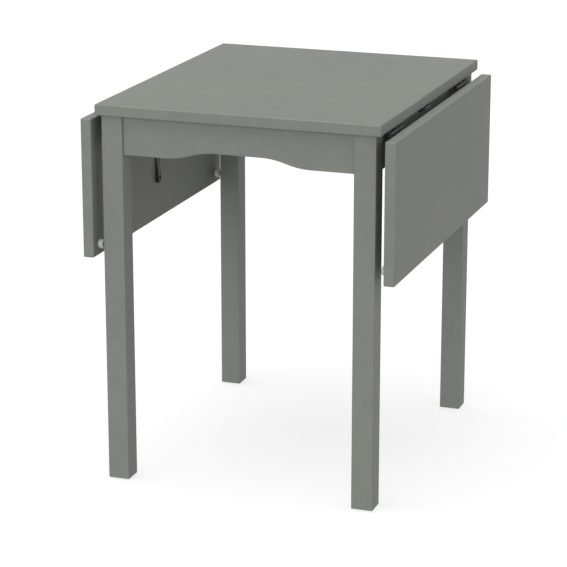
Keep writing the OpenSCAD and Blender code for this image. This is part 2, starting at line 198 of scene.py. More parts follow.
class Graph:
    """The node tree of one material."""

    def __init__(self, name: str) -> None:
        """Starts an empty material.

        Args:
            name: The material's name.
        """
        self.material = bpy.data.materials.new(name)
        self.material.use_nodes = True
        self.tree = self.material.node_tree
        self.tree.nodes.clear()

    def node(
        self,
        kind: str,
        settings: Mapping[str, Any],
        inputs: Mapping[Union[int, str], Any],
        output: Union[int, str] = 0,
    ) -> Signal:
        """Adds a node, sets it, then fills or links its sockets.

        Args:
            kind: The node's type.
            settings: The node's own settings by name.
            inputs: Values or signals by socket.
            output: The output socket to hand back.

        Returns:
            The chosen output.
        """
        made = self.tree.nodes.new(kind)
        for name, value in settings.items():
            setattr(made, name, value)
        for key, value in inputs.items():
            if isinstance(value, Signal):
                self.tree.links.new(value.socket, made.inputs[key])
            else:
                made.inputs[key].default_value = value
        return Signal(self, made.outputs[output] if len(made.outputs) else None)

    def place(self, stretch: Colour = (1.0, 1.0, 1.0)) -> Signal:
        """Object coordinates in metres, stretched along each axis.

        Args:
            stretch: The factor on X, Y and Z.

        Returns:
            The coordinates.
        """
        point = self.node("ShaderNodeTexCoord", {}, {}, "Object")
        if stretch == (1.0, 1.0, 1.0):
            return point
        return self.node("ShaderNodeMapping", {}, {"Vector": point, "Scale": stretch})

    def noise(
        self,
        point: Signal,
        scale: float,
        detail: float = 3.0,
        rough: float = 0.55,
        warp: float = 0.0,
    ) -> Signal:
        """Fractal noise.

        Args:
            point: The coordinates.
            scale: Features per metre.
            detail: How many finer octaves are added.
            rough: The weight of each finer octave.
            warp: How far the pattern is drawn out of shape.

        Returns:
            The noise, around 0.5.
        """
        inputs = {
            "Vector": point, "Scale": scale, "Detail": detail, "Roughness": rough,
            "Distortion": warp,
        }
        return self.node("ShaderNodeTexNoise", {}, inputs)

    def cells(self, point: Signal, scale: float) -> Signal:
        """One random shade for each crystal-like cell."""
        return self.node("ShaderNodeTexVoronoi", {}, {"Vector": point, "Scale": scale}, "Color")

    def worn(self) -> Signal:
        """The mark that the meshes carry on their rounded edges."""
        return self.node("ShaderNodeAttribute", {"attribute_name": "worn"}, {}, "Fac")

    def mix(self, share: Signal, first: Any, second: Any) -> Signal:
        """A blend of two colours.

        Args:
            share: 0 for the first and 1 for the second.
            first: A colour or a signal.
            second: A colour or a signal.

        Returns:
            The blended colour.
        """
        inputs = {0: share}
        for key, value in zip(MIX_COLOURS, (first, second)):
            inputs[key] = value if isinstance(value, Signal) else (*value, 1.0)
        return self.node("ShaderNodeMix", {"data_type": "RGBA"}, inputs, MIXED_COLOUR)

    def bump(self, height: Signal, distance: float, strength: float = 1.0) -> Signal:
        """A bump from a height between 0 and 1.

        Args:
            height: The height.
            distance: What a height of 1 stands for, in metres.
            strength: How much of it shows.

        Returns:
            The bent normal.
        """
        inputs = {"Height": height, "Distance": distance, "Strength": strength}
        return self.node("ShaderNodeBump", {}, inputs)

    def close(self, surface: Mapping[str, Any]) -> bpy.types.Material:
        """Ends the material in one Principled surface.

        Args:
            surface: Values or signals by socket name.

        Returns:
            The material.
        """
        shader = self.node("ShaderNodeBsdfPrincipled", {}, surface)
        self.node("ShaderNodeOutputMaterial", {}, {"Surface": shader})
        return self.material


@dataclass(frozen=True)
class Finish(ABC):
    """A surface finish, made into a material the first time it is asked for."""

    name: str
    slot: Optional[Slot]

    @abstractmethod
    def surface(self, graph: Graph) -> dict[str, Any]:
        """The sockets of the Principled surface.

        Args:
            graph: The node tree that takes the nodes.

        Returns:
            Values or signals by socket name.
        """

    def material(self) -> bpy.types.Material:
        """The material of this finish."""
        known = bpy.data.materials.get(self.name)
        if known is not None:
            return known
        graph = Graph(self.name)
        return graph.close(self.surface(graph))


@dataclass(frozen=True)
class SatinPaint(Finish):
    """Sprayed satin paint on board: cloudy tone, fine orange peel, rubbed edges."""

    name: str = "satin_paint"
    slot: Optional[Slot] = Slot.PAINT
    shade: Colour = (0.208, 0.217, 0.196)
    tint: Colour = (0.230, 0.237, 0.214)
    rubbed: Colour = (0.300, 0.302, 0.276)
    grime: Colour = (0.160, 0.165, 0.150)

    def surface(self, graph: Graph) -> dict[str, Any]:
        """The sockets of the Principled surface.

        Args:
            graph: The node tree that takes the nodes.

        Returns:
            Values or signals by socket name.
        """
        point = graph.place()
        cloud = graph.noise(point, 2.6, 3.0)
        mottle = graph.noise(point, 34.0, 4.0, 0.6)
        fleck = graph.noise(point, 160.0, 3.0, 0.6)
        peel = graph.noise(point, 520.0, 2.0)
        wave = graph.noise(point, 46.0, 2.0)
        colour = graph.mix((cloud * 0.45 + mottle * 0.55).ramp(0.33, 0.67), self.shade, self.tint)
        colour = graph.mix(fleck.ramp(0.62, 0.78) * 0.30, colour, self.grime)
        rubs = graph.worn() * graph.noise(point, 70.0, 5.0, 0.65).ramp(0.44, 0.64)
        return {
            "Base Color": graph.mix(rubs * 0.25, colour, self.rubbed),
            "Roughness": 0.46 + mottle * 0.14 + fleck * 0.06 - rubs * 0.08,
            "Normal": graph.bump(peel * 0.5 + wave, 0.00012, 0.7),
            "Specular IOR Level": 0.22,
        }


@dataclass(frozen=True)
class BlackCoat(Finish):
    """Black electro-coated steel with bright rubs on its edges."""

    name: str = "black_coated_steel"
    slot: Optional[Slot] = Slot.BLACK_STEEL
    coat: Colour = (0.010, 0.010, 0.011)
    haze: Colour = (0.026, 0.026, 0.027)
    steel: Colour = (0.200, 0.200, 0.205)

    def surface(self, graph: Graph) -> dict[str, Any]:
        """The sockets of the Principled surface.

        Args:
            graph: The node tree that takes the nodes.

        Returns:
            Values or signals by socket name.
        """
        point = graph.place()
        haze = graph.noise(point, 90.0, 4.0, 0.6)
        grit = graph.noise(point, 1400.0, 2.0)
        rubs = graph.worn() * graph.noise(point, 260.0, 5.0, 0.7).ramp(0.50, 0.66)
        colour = graph.mix(haze.ramp(0.35, 0.70), self.coat, self.haze)
        return {
            "Base Color": graph.mix(rubs, colour, self.steel),
            "Metallic": rubs * 0.8,
            "Roughness": 0.30 + haze * 0.16 + grit * 0.06,
            "Normal": graph.bump(grit, 0.00003, 0.8),
        }


@dataclass(frozen=True)
class ZincPlate(Finish):
    """Bright zinc plating: small crystals, a cool and a warm cast, dulled edges."""

    name: str = "zinc_plate"
    slot: Optional[Slot] = Slot.ZINC
    cool: Colour = (0.560, 0.590, 0.620)
    warm: Colour = (0.660, 0.630, 0.560)
    dull: Colour = (0.360, 0.360, 0.350)

    def surface(self, graph: Graph) -> dict[str, Any]:
        """The sockets of the Principled surface.

        Args:
            graph: The node tree that takes the nodes.

        Returns:
            Values or signals by socket name.
        """
        point = graph.place()
        cast = graph.noise(point, 70.0, 3.0)
        crystal = graph.cells(point, 900.0)
        drag = graph.noise(graph.place((1.0, 1.0, 0.06)), 1800.0, 2.0)
        colour = graph.mix((cast * 0.8 + crystal * 0.2).ramp(0.35, 0.68), self.cool, self.warm)
        edge = graph.worn() * graph.noise(point, 300.0, 4.0, 0.6).ramp(0.42, 0.62)
        return {
            "Base Color": graph.mix(edge * 0.7, colour, self.dull),
            "Metallic": 1.0,
            "Roughness": 0.26 + crystal * 0.08 + drag * 0.12,
            "Normal": graph.bump(drag, 0.00002, 0.6),
        }


@dataclass(frozen=True)
class DrawnSteel(Finish):
    """Cold-drawn flat steel with streaks along its length and a film of oil."""

    name: str = "drawn_steel"
    slot: Optional[Slot] = Slot.BAR
    bright: Colour = (0.520, 0.525, 0.530)
    dark: Colour = (0.330, 0.335, 0.345)
    streak: Colour = (0.04, 1.0, 1.0)

    def surface(self, graph: Graph) -> dict[str, Any]:
        """The sockets of the Principled surface.

        Args:
            graph: The node tree that takes the nodes.

        Returns:
            Values or signals by socket name.
        """
        along = graph.noise(graph.place(self.streak), 900.0, 3.0, 0.6)
        film = graph.noise(graph.place(), 45.0, 4.0, 0.6)
        rubs = graph.worn() * 0.5
        colour = graph.mix((along * 0.6 + film * 0.4).ramp(0.36, 0.66), self.dark, self.bright)
        return {
            "Base Color": graph.mix(rubs, colour, self.bright),
            "Metallic": 1.0,
            "Roughness": 0.24 + along * 0.16 + film * 0.08,
            "Normal": graph.bump(along, 0.00003, 0.7),
        }


@dataclass(frozen=True)
class MouldedPlastic(Finish):
    """Black moulded plastic with a spark-eroded skin."""

    name: str = "moulded_plastic"
    slot: Optional[Slot] = Slot.PLASTIC
    body: Colour = (0.012, 0.012, 0.013)
    bloom: Colour = (0.034, 0.034, 0.035)

    def surface(self, graph: Graph) -> dict[str, Any]:
        """The sockets of the Principled surface.

        Args:
            graph: The node tree that takes the nodes.

        Returns:
            Values or signals by socket name.
        """
        point = graph.place()
        grain = graph.noise(point, 1500.0, 2.0)
        bloom = graph.noise(point, 60.0, 4.0, 0.6)
        share = bloom.ramp(0.40, 0.75) * 0.6 + graph.worn() * 0.4
        return {
            "Base Color": graph.mix(share, self.body, self.bloom),
            "Roughness": 0.42 + bloom * 0.12 + grain * 0.06,
            "Normal": graph.bump(grain, 0.00006, 0.8),
        }


@dataclass(frozen=True)
class Elastomer(Finish):
    """Cloudy grey elastomer with a soft sheen."""

    name: str = "grey_elastomer"
    slot: Optional[Slot] = Slot.RUBBER
    clear: Colour = (0.680, 0.690, 0.680)
    cloudy: Colour = (0.900, 0.905, 0.895)

    def surface(self, graph: Graph) -> dict[str, Any]:
        """The sockets of the Principled surface.

        Args:
            graph: The node tree that takes the nodes.

        Returns:
            Values or signals by socket name.
        """
        point = graph.place()
        milk = graph.noise(point, 120.0, 4.0, 0.6)
        skin = graph.noise(point, 900.0, 2.0)
        share = milk.ramp(0.35, 0.68) * 0.7 + graph.worn() * 0.3
        return {
            "Base Color": graph.mix(share, self.clear, self.cloudy),
            "Roughness": 0.16 + milk * 0.14,
            "Normal": graph.bump(skin, 0.00004, 0.6),
            "Transmission Weight": 0.12,
            "Coat Weight": 0.6,
            "Coat Roughness": 0.08,
        }


@dataclass(frozen=True)
class RawBeech(Finish):
    """Unfinished beech with short dark flecks along the grain."""

    name: str = "raw_beech"
    slot: Optional[Slot] = Slot.BEECH
    early: Colour = (0.620, 0.450, 0.270)
    late: Colour = (0.480, 0.320, 0.180)
    fleck: Colour = (0.300, 0.180, 0.090)

    def surface(self, graph: Graph) -> dict[str, Any]:
        """The sockets of the Principled surface.

        Args:
            graph: The node tree that takes the nodes.

        Returns:
            Values or signals by socket name.
        """
        along = graph.place((0.08, 0.08, 1.0))
        ring = graph.noise(along, 420.0, 3.0, 0.6, 0.6)
        ray = graph.noise(along, 1600.0, 2.0)
        colour = graph.mix(ring.ramp(0.35, 0.65), self.early, self.late)
        return {
            "Base Color": graph.mix(ray.ramp(0.62, 0.74), colour, self.fleck),
            "Roughness": 0.62 + ring * 0.12,
            "Normal": graph.bump(ray * 0.5 + ring, 0.00006, 0.8),
        }


@dataclass(frozen=True)
class StudioFloor(Finish):
    """A plain pale floor with the faintest unevenness, lit from within so that it stays pale."""

    name: str = "studio_floor"
    slot: Optional[Slot] = None
    pale: Colour = (0.25, 0.25, 0.248)
    paler: Colour = (0.27, 0.27, 0.268)
    glow: float = 0.76

    def surface(self, graph: Graph) -> dict[str, Any]:
        """The sockets of the Principled surface.

        Args:
            graph: The node tree that takes the nodes.

        Returns:
            Values or signals by socket name.
        """
        cloud = graph.noise(graph.place(), 1.5, 3.0)
        return {
            "Base Color": graph.mix(cloud, self.pale, self.paler),
            "Roughness": 0.82 + cloud * 0.1,
            "Normal": graph.bump(cloud, 0.0002, 0.3),
            "Specular IOR Level": 0.1,
            "Emission Color": (1.0, 1.0, 1.0, 1.0),
            "Emission Strength": self.glow,
        }


PAINT = SatinPaint()
BLACK = BlackCoat()
ZINC = ZincPlate()
STEEL = DrawnSteel()
PLASTIC = MouldedPlastic()
RUBBER = Elastomer()
BEECH = RawBeech()


# ---------------------------------------------------------------------------
# Shaping
# ---------------------------------------------------------------------------


def verts_in(parts: Iterable[Any]) -> list[Vert]:
    """The vertices among the parts that an operator hands back."""
    return [part for part in parts if isinstance(part, Vert)]


def once(parts: Iterable[Any]) -> list[Any]:
    """The parts without repeats, in the order they come."""
    return list(dict.fromkeys(parts))


def run(edge: Edge, axis: int) -> float:
    """How far an edge runs along an axis."""
    return abs(edge.verts[0].co[axis] - edge.verts[1].co[axis])


class Shape:
    """A mesh while it is being shaped, in metres."""

    def __init__(self) -> None:
        """Starts an empty mesh whose vertices can be marked as worn."""
        self.bm = bmesh.new()
        self.worn = self.bm.verts.layers.float.new("worn")

    @property
    def all(self) -> list[Vert]:
        """All the vertices so far."""
        return list(self.bm.verts)

    def since(self, known: set[Vert]) -> list[Vert]:
        """The vertices made since these were all there were."""
        return [v for v in self.bm.verts if v not in known]

    def unmark(self, verts: Iterable[Vert]) -> None:
        """Takes the worn mark off these vertices."""
        for vert in verts:
            vert[self.worn] = 0.0

    def draw_out(self, faces: Sequence[Face], way: Sequence[float]) -> list[Vert]:
        """Extrudes faces and moves the new ends.

        Args:
            faces: The faces.
            way: How far and where the new ends go.

        Returns:
            The vertices of the new ends.
        """
        far = verts_in(bmesh.ops.extrude_face_region(self.bm, geom=faces)["geom"])
        bmesh.ops.translate(self.bm, vec=way, verts=far)
        return far

    def drag(self, edges: Sequence[Edge], way: Sequence[float]) -> list[Vert]:
        """Extrudes edges and moves the new ones.

        Args:
            edges: The edges.
            way: How far and where the new edges go.

        Returns:
            The vertices of the new edges.
        """
        far = verts_in(bmesh.ops.extrude_edge_only(self.bm, edges=edges)["geom"])
        bmesh.ops.translate(self.bm, vec=way, verts=far)
        return far

    def edges_of(self, verts: Iterable[Vert]) -> list[Edge]:
        """The edges that run between these vertices."""
        ends = dict.fromkeys(verts)
        return once(e for v in ends for e in v.link_edges if e.other_vert(v) in ends)

    def sharp(
        self, verts: Iterable[Vert], keep: Optional[Callable[[Edge], bool]] = None
    ) -> list[Edge]:
        """Finds the sharp edges among some vertices.

        Args:
            verts: The vertices.
            keep: A further test that an edge has to pass.

        Returns:
            The edges whose two faces meet at more than the crease angle.
        """
        for vert in verts:
            for face in vert.link_faces:
                face.normal_update()
        return [
            e for e in self.edges_of(verts)
            if e.is_manifold and e.calc_face_angle() > CREASE and (keep is None or keep(e))
        ]

    def soften(self, edges: Iterable[Edge], width: float, segments: int = 3) -> None:
        """Rounds edges over and marks the crown of each as worn.

        Args:
            edges: The edges.
            width: How far the round reaches from the edge.
            segments: How many facets the round has.
        """
        made = bmesh.ops.bevel(
            self.bm, geom=list(edges), offset=width, offset_type="OFFSET", segments=segments,
            profile=0.5, affect="EDGES", material=-1, clamp_overlap=True,
        )
        fresh = set(made["faces"])
        for vert in made["verts"]:
            if all(face in fresh for face in vert.link_faces):
                vert[self.worn] = 1.0

    def block(self, low: Vector, high: Vector) -> list[Vert]:
        """A block between two corners.

        Args:
            low: The lowest corner.
            high: The highest corner.

        Returns:
            The vertices of the block.
        """
        made = bmesh.ops.create_cube(self.bm, size=1.0)["verts"]
        bmesh.ops.scale(self.bm, vec=high - low, verts=made)
        bmesh.ops.translate(self.bm, vec=(low + high) / 2, verts=made)
        return made

    def prism(
        self, outline: Sequence[tuple[float, float]], depth: float, place: Matrix
    ) -> list[Vert]:
        """Extrudes a flat outline.

        Args:
            outline: The outline's points in the plane of place.
            depth: The length along Z of place.
            place: Where the outline lies.

        Returns:
            The vertices of the prism.
        """
        corners = [self.bm.verts.new((x, y, 0.0)) for x, y in outline]
        verts = corners + self.draw_out([self.bm.faces.new(corners)], (0.0, 0.0, depth))
        bmesh.ops.transform(self.bm, matrix=place, verts=verts)
        return verts

    def loop(self, points: Sequence[tuple[float, float]]) -> list[Edge]:
        """A closed loop of edges through flat points."""
        verts = [self.bm.verts.new((x, y, 0.0)) for x, y in points]
        return [self.bm.edges.new((a, b)) for a, b in zip(verts, verts[1:] + verts[:1])]

    def circle(self, centre: tuple[float, float], radius: float, steps: int) -> list[Edge]:
        """A closed circle of edges.

        Args:
            centre: The middle of the circle.
            radius: Its radius.
            steps: How many edges it has.

        Returns:
            The edges.
        """
        verts = bmesh.ops.create_circle(
            self.bm, cap_ends=False, radius=radius, segments=steps
        )["verts"]
        bmesh.ops.translate(self.bm, vec=(*centre, 0.0), verts=verts)
        return self.edges_of(verts)

    def pierced(
        self,
        outline: Sequence[tuple[float, float]],
        holes: Sequence[tuple[float, float, float]],
        depth: float,
        place: Matrix,
    ) -> list[Vert]:
        """A flat plate with round holes.

        Args:
            outline: The plate's corners.
            holes: Each hole's middle and radius.
            depth: The plate's thickness along Z of place.
            place: Where the plate lies.

        Returns:
            The vertices of the plate.
        """
        edges = self.loop(outline)
        for x, y, radius in holes:
            edges += self.circle((x, y), radius, HOLE_STEPS)
        made = bmesh.ops.triangle_fill(
            self.bm, use_beauty=True, edges=edges, normal=(0.0, 0.0, 1.0)
        )["geom"]
        far = self.draw_out([part for part in made if isinstance(part, Face)], (0.0, 0.0, depth))
        verts = once(v for edge in edges for v in edge.verts) + far
        bmesh.ops.transform(self.bm, matrix=place, verts=verts)
        return verts

    def turned(
        self, profile: Sequence[tuple[float, float]], place: Matrix, steps: int, ring: bool = False
    ) -> list[Vert]:
        """Turns a profile about Z of place, as on a lathe.

        Args:
            profile: Points of radius and height.
            place: Where the axis lies.
            steps: How many facets go round.
            ring: Whether the profile closes on itself, as in a washer.

        Returns:
            The vertices of the turned shape.
        """
        known = set(self.bm.verts)
        verts = [self.bm.verts.new((r, 0.0, z)) for r, z in profile]
        pairs = list(zip(verts, verts[1:])) + ([(verts[-1], verts[0])] if ring else [])
        edges = [self.bm.edges.new(pair) for pair in pairs]
        bmesh.ops.spin(
            self.bm, geom=verts + edges, cent=(0, 0, 0), axis=(0, 0, 1), dvec=(0, 0, 0),
            angle=FULL_TURN, space=Matrix.Identity(4), steps=steps, use_merge=True,
            use_normal_flip=False, use_duplicate=False,
        )
        bmesh.ops.remove_doubles(self.bm, verts=self.since(known), dist=WELD)
        made = self.since(known)
        bmesh.ops.transform(self.bm, matrix=place, verts=made)
        return made

    def grow_rim(
        self, rim: list[Edge], radius: Union[float, Callable], height: Union[float, Callable]
    ) -> list[Edge]:
        """Draws an open rim out to a new rim round the Z axis.

        Args:
            rim: The edges of the open rim.
            radius: The new radius, or a function of the angle.
            height: The new height, or a function of the new radius.

        Returns:
            The edges of the new rim.
        """
        verts = verts_in(bmesh.ops.extrude_edge_only(self.bm, edges=rim)["geom"])
        for vert in verts:
            angle = math.atan2(vert.co.y, vert.co.x)
            far = radius(angle) if callable(radius) else radius
            up = height(far) if callable(height) else height
            vert.co = (far * math.cos(angle), far * math.sin(angle), up)
        return self.edges_of(verts)

    def repeat(self, master: list[Vert], places: Iterable[Matrix]) -> None:
        """Puts a copy of a master shape at every place and takes the master away.

        Args:
            master: The vertices of the master.
            places: Where the copies go.
        """
        edges = self.edges_of(master)
        faces = once(face for vert in master for face in vert.link_faces)
        for place in places:
            copy = bmesh.ops.duplicate(self.bm, geom=master + edges + faces)["geom"]
            bmesh.ops.transform(self.bm, matrix=place, verts=verts_in(copy))
        bmesh.ops.delete(self.bm, geom=master, context="VERTS")

    def piece(self, name: str, body: str, finish: Finish, *nodes: str) -> bpy.types.Object:
        """Ends the shaping and sets the piece in the table.

        Args:
            name: The piece's name.
            body: The body that it rides on.
            finish: Its finish.
            nodes: The CAD nodes that it stands for.

        Returns:
            The piece.
        """
        bmesh.ops.recalc_face_normals(self.bm, faces=self.bm.faces)
        for face in self.bm.faces:
            face.smooth = True
        open_edges = sum(not edge.is_manifold for edge in self.bm.edges)
        mesh = bpy.data.meshes.new(name)
        self.bm.to_mesh(mesh)
        self.bm.free()
        mesh.set_sharp_from_angle(angle=CREASE)
        obj = bpy.data.objects.new(name, mesh)
        bpy.context.scene.collection.objects.link(obj)
        obj.modifiers.new("face_weights", "WEIGHTED_NORMAL").keep_sharp = True
        mesh.materials.append(finish.material())
        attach(obj, body)
        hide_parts(*nodes)
        count = len(mesh.polygons)
        LOG.info("%s rides on %s: %d faces, %d open edges", name, body, count, open_edges)
        return obj


# ---------------------------------------------------------------------------
# Places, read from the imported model
# ---------------------------------------------------------------------------


@dataclass(frozen=True)
class Seat:
    """Where a fastener sits: its outer end, the way it points and its length."""

    start: Vector
    way: Vector
    length: float

    @property
    def place(self) -> Matrix:
        """The matrix that lays a shape's Z axis along the fastener."""
        turn = self.way.to_track_quat("Z", "Y").to_matrix().to_4x4()
        return Matrix.Translation(self.start) @ turn


def box_of(points: Sequence[Vector]) -> tuple[Vector, Vector]:
    """The lowest and highest corner of some points."""
    return Vector(map(min, zip(*points))), Vector(map(max, zip(*points)))


def solids(node: str) -> list[list[Vector]]:
    """Splits a CAD node into its separate solids.

    Args:
        node: The node's name.

    Returns:
        The points of each solid.
    """
    copy = bmesh.new()
    copy.from_mesh(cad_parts[node].data)
    bmesh.ops.remove_doubles(copy, verts=copy.verts, dist=CAD_WELD)
    waiting, found = dict.fromkeys(copy.verts), []
    while waiting:
        stack, group = [waiting.popitem()[0]], []
        while stack:
            vert = stack.pop()
            group.append(vert.co.copy())
            for edge in vert.link_edges:
                other = edge.other_vert(vert)
                if other in waiting:
                    del waiting[other]
                    stack.append(other)
        found.append(group)
    copy.free()
    return sorted(found, key=lambda group: tuple(round(c, 4) for c in group_middle(group)))


def group_middle(points: Sequence[Vector]) -> Vector:
    """The middle of the box round some points."""
    low, high = box_of(points)
    return (low + high) / 2


def seat_of(points: Sequence[Vector], diagonal: bool = False) -> Seat:
    """Works out how a fastener sits from its points.

    Args:
        points: The points of one solid.
        diagonal: Whether it points from a corner to the middle of the table; otherwise it lies
            along its longest axis with its wide head at the start.

    Returns:
        The seat.
    """
    low, high = box_of(points)
    middle = (low + high) / 2
    if diagonal:
        way = Vector((-math.copysign(1, middle.x), -math.copysign(1, middle.y), 0.0)).normalized()
    else:
        size = high - low
        axis = max(range(3), key=lambda i: size[i])
        way = Vector([float(i == axis) for i in range(3)])
        offsets = [p - middle for p in points]
        radial = [(o - way * o.dot(way)).length for o in offsets]
        rim = RIM_SHARE * max(radial)
        if sum(o.dot(way) for o, r in zip(offsets, radial) if r > rim) > 0:
            way.negate()
    along = [(p - middle).dot(way) for p in points]
    return Seat(middle + way * min(along), way, max(along) - min(along))


def seats(node: str, diagonal: bool = False) -> list[Seat]:
    """The seats of all solids in a node."""
    return [seat_of(points, diagonal) for points in solids(node)]


def mirrored(side: Side) -> Matrix:
    """Turns a right-hand shape about the middle into one for this side."""
    return Matrix.Diagonal((side.value, 1.0, 1.0, 1.0))


def axes(
    x: Sequence[float], y: Sequence[float], z: Sequence[float], origin: Sequence[float]
) -> Matrix:
    """A matrix from the directions of its axes and its origin."""
    turn = Matrix((x, y, z)).transposed().to_4x4()
    return Matrix.Translation(origin) @ turn


def section(x: float, y: float, z: float) -> Matrix:
    """The frame of an outline in Y and Z that is drawn out along X from a point."""
    return axes((0, 1, 0), (0, 0, 1), (1, 0, 0), (x, y, z))


# ---------------------------------------------------------------------------
# Fasteners
# ---------------------------------------------------------------------------


@dataclass
class CrossScrew:
    """A wood screw with a cross recess, crown at the start of its seat."""

    head: Head
    head_radius: float = 3.8 * MM
    head_height: float = 2.2 * MM
    shank_radius: float = 2.0 * MM
    crown: float = 1.0 * MM
    recess: float = 1.3 * MM
    taper: float = 0.72
    rim: float = 0.2 * MM
    tip: float = 3.5 * MM
    point: float = 0.3 * MM
    lines: tuple[float, ...] = (0.0, 0.17, 0.40, 0.62, 1.0)

    def add(self, shape: Shape, places: Sequence[Seat]) -> None:
        """Puts a screw at every seat.

        Args:
            shape: The mesh that takes the screws.
            places: The seats, all of one length.
        """
        known = set(shape.bm.verts)
        self._face(shape)
        self._shank(shape, known, places[0].length)
        shape.repeat(shape.since(known), [seat.place for seat in places])

    def _face(self, shape: Shape) -> None:
        """The head's face: a square net drawn out to a disc, with the cross sunk into it.

        Args:
            shape: The mesh that takes the face.
        """
        cells = len(self.lines) - 1
        net = bmesh.ops.create_grid(
            shape.bm, x_segments=2 * cells, y_segments=2 * cells, size=1.0
        )["verts"]
        inner = self.lines[3]
        for vert in net:
            x, y = (math.copysign(self.lines[round(abs(c) * cells)], c) for c in vert.co.xy)
            reach, spread = max(abs(x), abs(y)), math.hypot(x, y)
            share = max(0.0, (reach - inner) / (1.0 - inner))
            pull = 1.0 + (reach / spread - 1.0) * share if spread else 1.0
            drop = self.crown * (spread * pull) ** 2 if self.head is Head.PAN else 0.0
            vert.co = (x * pull * self.head_radius, y * pull * self.head_radius, drop)
        arm = self.lines[1] * self.head_radius
        end = inner * self.head_radius
        cross = []
        for face in once(f for v in net for f in v.link_faces):
            x, y = (abs(c) for c in face.calc_center_median().xy)
            if (x < arm and y < end) or (y < arm and x < end):
                cross.append(face)
        floor = shape.draw_out(cross, (0.0, 0.0, self.recess))
        bmesh.ops.scale(shape.bm, vec=(self.taper, self.taper, 1.0), verts=floor)
        bmesh.ops.delete(shape.bm, geom=[f for f in cross if f.is_valid], context="FACES")

    def _shank(self, shape: Shape, known: set[Vert], length: float) -> None:
        """The head's side and the shank down to its point.

        Args:
            shape: The mesh.
            known: The vertices that were there before the screw.
            length: The screw's length.
        """
        rim = [e for e in shape.bm.edges if e.is_boundary and e.verts[0] not in known]
        if self.head is Head.PAN:
            steps = [
                (self.head_radius, self.head_height - self.rim),
                (self.head_radius - self.rim, self.head_height),
            ]
        else:
            steps = [(self.head_radius, self.rim)]
        steps += [
            (self.shank_radius, self.head_height), (self.shank_radius, length - self.tip),
            (self.point, length),
        ]
        for radius, height in steps:
            rim = shape.grow_rim(rim, radius, height)
        bmesh.ops.edgeloop_fill(shape.bm, edges=rim)


